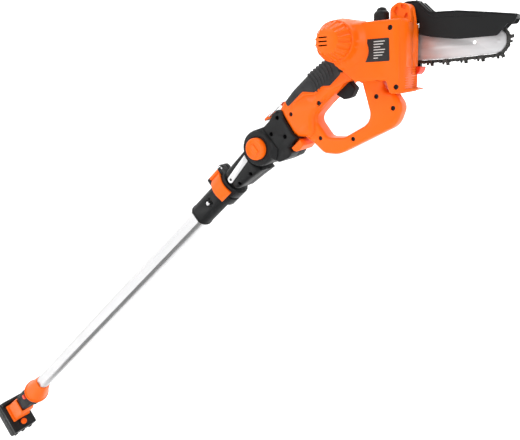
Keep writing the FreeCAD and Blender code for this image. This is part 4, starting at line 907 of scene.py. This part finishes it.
class POLESAW_OT_knuckle(PoleSawOperator, bpy.types.Operator):
    """Dish the tilt knob and ring the cheek that it sits in"""
    bl_idname = "pole_saw.knuckle"
    bl_label = "Knuckle"

    def execute(self, context):
        face, back = KNOB_SIDES
        deep = self.sizes.knob_dish / MM
        profile = [(0, face + deep), (8.5, face + deep), (11.5, face + deep - 0.5), (13.2, face + 0.8),
                   (14.0, face + 0.15), (15.0, face), (16.2, face + 0.4), (17.1, face + 1.4),
                   (17.5, face + 2.8), (17.5, back),
                   (9.5, back), (9.5, back - 7), (0, back - 7)]
        knob = lathed("tilt_knob", profile)
        pad = eased(block("thumb_pad", (-3.6, face + 0.7, -8.0), (3.6, face + deep + 1, 8.0)), 1.5, 4)
        put(joined("tilt_knob", [knob, pad]), POLE, "knob", "orange_shell", "knuckle_knob")
        for side in ("near", "far"):
            adapter = refined("adapter_" + side, "adapter_%s_half" % side, 0.35)
            put(adapter, None, "head", "black_moulding", "adapter_" + side)
            housing = refined("joint_housing_" + side, "joint_%s_half" % side, 0.4)
            put(housing, None, "upper_pole", "black_moulding", "joint_housing_" + side)
        rings = [round_bead("cheek_ring", (0, y, 0), radius, thick)
                 for y, radius, thick in ((-30.0, 20.6, 0.8), (-29.6, 25.6, 0.55), (30.0, 12.5, 0.8),
                                          (29.6, 25.6, 0.55))]
        put(joined("cheek_rings", rings), SAW, "head", "black_moulding")
        self.ease_nodes(0.25, "side_strip", "pivot_bolt", "release_button", "latch_lever", "latch_keeper")
        return {"FINISHED"}


class POLESAW_OT_clamp(PoleSawOperator, bpy.types.Operator):
    """Shape the cam lever, ease the clamp and rim the snap button"""
    bl_idname = "pole_saw.clamp"
    bl_label = "Pole clamp"

    def execute(self, context):
        low, high = node_span("cam_lever", POLE, 0)
        inner = 25.3
        outer = 30.0
        spots = [math.radians(117 + 8.3 * i) for i in range(12)]
        outline = [(outer * math.cos(a), outer * math.sin(a)) for a in spots]
        tip = spots[-1]
        outline += [((outer + 2.6) * math.cos(tip + 0.12), (outer + 2.6) * math.sin(tip + 0.12), 1.2),
                    ((inner + 1.6) * math.cos(tip + 0.2), (inner + 1.6) * math.sin(tip + 0.2), 1.2)]
        outline += [(inner * math.cos(a), inner * math.sin(a)) for a in reversed(spots)]
        plate = sheet_metal("lever_plate", outline, low, high)
        upended(plate, SWAP_XY)
        pin = JOINTS["cam_open"]["pos_m"]
        place = POLE.inverted() @ Vector(pin) / MM
        barrel = peg("lever_barrel", (low, place.y, place.z), (high, place.y, place.z), 3.9, 40)
        cut_away(barrel, peg("bore", (low - 1, place.y, place.z), (high + 1, place.y, place.z), 1.9, 32))
        eased(plate, 1.3, 4)
        put(joined("cam_lever_shell", [plate, barrel]), POLE, "cam", "orange_shell", "cam_lever")
        self.ease_nodes(0.45, "clamp_band", "coupling_sleeve", "guide_bush")
        snap = POLE.inverted() @ node_middle("snap_button") / MM
        sleeve_y = node_span("coupling_sleeve", POLE, 1)[0] + 0.8
        rim = round_bead("snap_rim", (snap.x, sleeve_y, snap.z), 7.3, 0.75)
        put(rim, POLE, "pole", "black_moulding")
        cup = [(4.4, sleeve_y + 1.2), (6.9, sleeve_y + 0.4), (6.9, sleeve_y + 2.4), (4.4, sleeve_y + 2.4),
               (4.4, sleeve_y + 1.2)]
        put(lathed("snap_cup", cup, (snap.x, 0, snap.z)), POLE, "pole", "black_moulding")
        return {"FINISHED"}


class POLESAW_OT_lower_end(PoleSawOperator, bpy.types.Operator):
    """Ease the hand guard, the rear grip, the seat and the battery, and add the battery's lines and feet"""
    bl_idname = "pole_saw.lower_end"
    bl_label = "Rear grip and battery"

    def execute(self, context):
        for node, width in (("hand_guard_collar", 0.5), ("rear_grip_near", 0.3), ("rear_grip_far", 0.3),
                            ("battery_seat", 0.4), ("battery_case", 0.5), ("battery_lid", 1.0),
                            ("battery_button", 0.3), ("pole_lock_button", 0.2)):
            copy = refined(node, node + "_eased", width)
            if node == "hand_guard_collar":
                cut_away(copy, self.rim_groove())
            put(copy, None, self.body_of(node), self.slot_of(node), node)
        foot, split = node_span("battery_case", POLE, 0)
        front, back = node_span("battery_case", POLE, 2)
        half = node_span("battery_case", POLE, 1)[1]
        trim = []
        for y in (-half + 9, -3, half - 15):
            pad = block("front_foot", (foot + 6, y, front - 3.0), (foot + 22, y + 7, front + 1))
            trim.append(eased(pad, 1.0, 3))
        for side in (-1, 1):
            for i in range(4):
                z = front + 22 + 14.0 * i
                low = (foot + 8, side * half - 0.5, z)
                high = (split - 6, side * half + 0.5, z + 3.0)
                trim.append(eased(block("side_rib", low, high), 0.4, 2))
        trim.append(eased(block("lid_bead", (split - 0.6, -half - 0.5, front + 6),
                                (split + 1.0, half + 0.5, back - 8)), 0.4, 2))
        put(joined("battery_trim", trim), POLE, "pole", "black_moulding")
        pole_button = sum(node_span("pole_lock_button", POLE, 0)) / 2
        ribs = []
        for i in range(6):
            s = -1172.0 - 12.5 * i
            by_button = abs(s - 1.7 - pole_button) < 10
            for side in (1,) if by_button else (-1, 1):
                y = sorted((side * 18.2, side * 19.7))
                low, high = (4, 13) if side < 0 else (-10, 12)
                ribs.append(eased(block("grip_rib", (s - 3.4, y[0], low), (s, y[1], high)), 0.7, 3))
        put(joined("rear_grip_ribs", ribs), POLE, "pole", "black_grip")
        return {"FINISHED"}

    def rim_groove(self):
        """The line between the hand guard's cone and its rim."""
        low = node_span("hand_guard_collar", POLE, 0)[0]
        drop = sum(node_span("hand_guard_collar", POLE, 2)) / 2
        groove = round_bead("rim_groove", (low + 10.5, 0, drop), 34.0, 1.6, (1, 0, 0))
        return moved(groove, POLE)


class POLESAW_OT_stage(PoleSawOperator, bpy.types.Operator):
    """Set the pale floor, the soft studio light and the camera"""
    bl_idname = "pole_saw.stage"
    bl_label = "Studio"

    def execute(self, context):
        scene = context.scene
        deselect()
        bpy.ops.mesh.primitive_plane_add(size=60.0, location=(0, 0, CAD_BOX[0].z - 0.25))
        floor = named("studio_floor")
        pale = Finish("pale_floor", (0.96, 0.96, 0.96), 0.9)
        pale.tint(pale.noise(0.6, 2.0), 0.99)
        pale.shader.inputs["Emission Color"].default_value = (1, 1, 1, 1)
        pale.shader.inputs["Emission Strength"].default_value = 0.22
        floor.data.materials.append(pale.material)
        self.card("studio_backdrop", PIVOT + Vector((-12.0, 17.0, 0)), 200.0, (90, 0, 34.8), (1, 1, 1), 1.0)
        below = (0.25, -0.6, CAD_BOX[0].z - 0.245)
        flag = self.card("studio_flag", below, 1.5, (0, 0, 0), (0.17, 0.17, 0.17), 0.0)
        for way in ("camera", "diffuse", "shadow", "transmission"):
            setattr(flag, "visible_" + way, False)
        world = bpy.data.worlds.new("studio_air")
        world.use_nodes = True
        world.node_tree.nodes["Background"].inputs["Color"].default_value = (1.0, 1.0, 1.0, 1)
        world.node_tree.nodes["Background"].inputs["Strength"].default_value = 0.52
        scene.world = world
        self.softbox("key_softbox", (-0.6, -2.6, 2.6), PIVOT, 1.6, 44.0)
        self.softbox("low_softbox", (-1.5, -2.3, 0.5), PIVOT * 0.4, 1.8, 20.0)
        self.softbox("front_softbox", (3.2, -1.0, 1.1), PIVOT, 1.6, 34.0)
        self.softbox("top_softbox", (0.6, 0.9, 3.0), PIVOT, 1.6, 26.0)
        lens = bpy.data.cameras.new("studio_camera")
        lens.sensor_width = 36.0
        lens.lens = 36.094
        lens.clip_start = 0.01
        lens.clip_end = 100.0
        camera = bpy.data.objects.new("studio_camera", lens)
        camera.location = PIVOT + Vector((483.8, -706.1, 112.9)) * MM
        camera.rotation_euler = [math.radians(angle) for angle in (74.4513, 3.0383, 34.8362)]
        scene.collection.objects.link(camera)
        scene.camera = camera
        scene.view_settings.view_transform = "Standard"
        return {"FINISHED"}

    def card(self, name, place, width, turns, tone, glow):
        """A flat card: a white backdrop that glows or a black flag that takes light away."""
        deselect()
        bpy.ops.mesh.primitive_plane_add(size=width, location=place,
                                         rotation=[math.radians(turn) for turn in turns])
        made = named(name)
        bpy.ops.object.transform_apply(location=True, rotation=True, scale=True)
        paint = Finish(name + "_paint", tone, 0.95)
        paint.tint(paint.noise(0.5, 2.0), 0.99)
        paint.shader.inputs["Emission Color"].default_value = (1, 1, 1, 1)
        paint.shader.inputs["Emission Strength"].default_value = glow
        made.data.materials.append(paint.material)
        return made

    def softbox(self, name, place, target, width, watts):
        deselect()
        bpy.ops.object.light_add(type="AREA", location=place)
        lamp = bpy.context.object
        lamp.name = name
        lamp.data.shape = "RECTANGLE"
        lamp.data.size = width
        lamp.data.size_y = width * 0.7
        lamp.data.energy = watts
        lamp.visible_camera = False
        lamp.rotation_mode = "QUATERNION"
        lamp.rotation_quaternion = (target - Vector(place)).to_track_quat("-Z", "Y")


CLASSES = [PoleSawColours, PoleSawSizes, POLESAW_OT_finishes, POLESAW_OT_casing, POLESAW_OT_motor_cap,
           POLESAW_OT_rating_plate, POLESAW_OT_rubber_grip, POLESAW_OT_oil_cap, POLESAW_OT_chain,
           POLESAW_OT_bar, POLESAW_OT_guard, POLESAW_OT_knuckle, POLESAW_OT_clamp, POLESAW_OT_lower_end,
           POLESAW_OT_stage]


class POLESAW_PT_panel(bpy.types.Panel):
    """Sizes, colours and build steps of the pole saw"""
    bl_label = "Pole Saw"
    bl_idname = "POLESAW_PT_panel"
    bl_space_type = "VIEW_3D"
    bl_region_type = "UI"
    bl_category = "Pole Saw"

    def draw(self, context):
        for group in (context.scene.pole_saw_colours, context.scene.pole_saw_sizes):
            for name in group.__annotations__:
                self.layout.prop(group, name)
        for step in STEPS:
            self.layout.operator(step.bl_idname)


STEPS = [kind for kind in CLASSES if issubclass(kind, bpy.types.Operator)]


def register():
    for kind in CLASSES + [POLESAW_PT_panel]:
        bpy.utils.register_class(kind)
    bpy.types.Scene.pole_saw_colours = PointerProperty(type=PoleSawColours)
    bpy.types.Scene.pole_saw_sizes = PointerProperty(type=PoleSawSizes)


def unregister():
    del bpy.types.Scene.pole_saw_sizes
    del bpy.types.Scene.pole_saw_colours
    for kind in reversed(CLASSES + [POLESAW_PT_panel]):
        bpy.utils.unregister_class(kind)


def main():
    register()
    for step in STEPS:
        group, name = step.bl_idname.split(".")
        getattr(getattr(bpy.ops, group), name)()
    deselect()


if __name__ == "__main__":
    main()
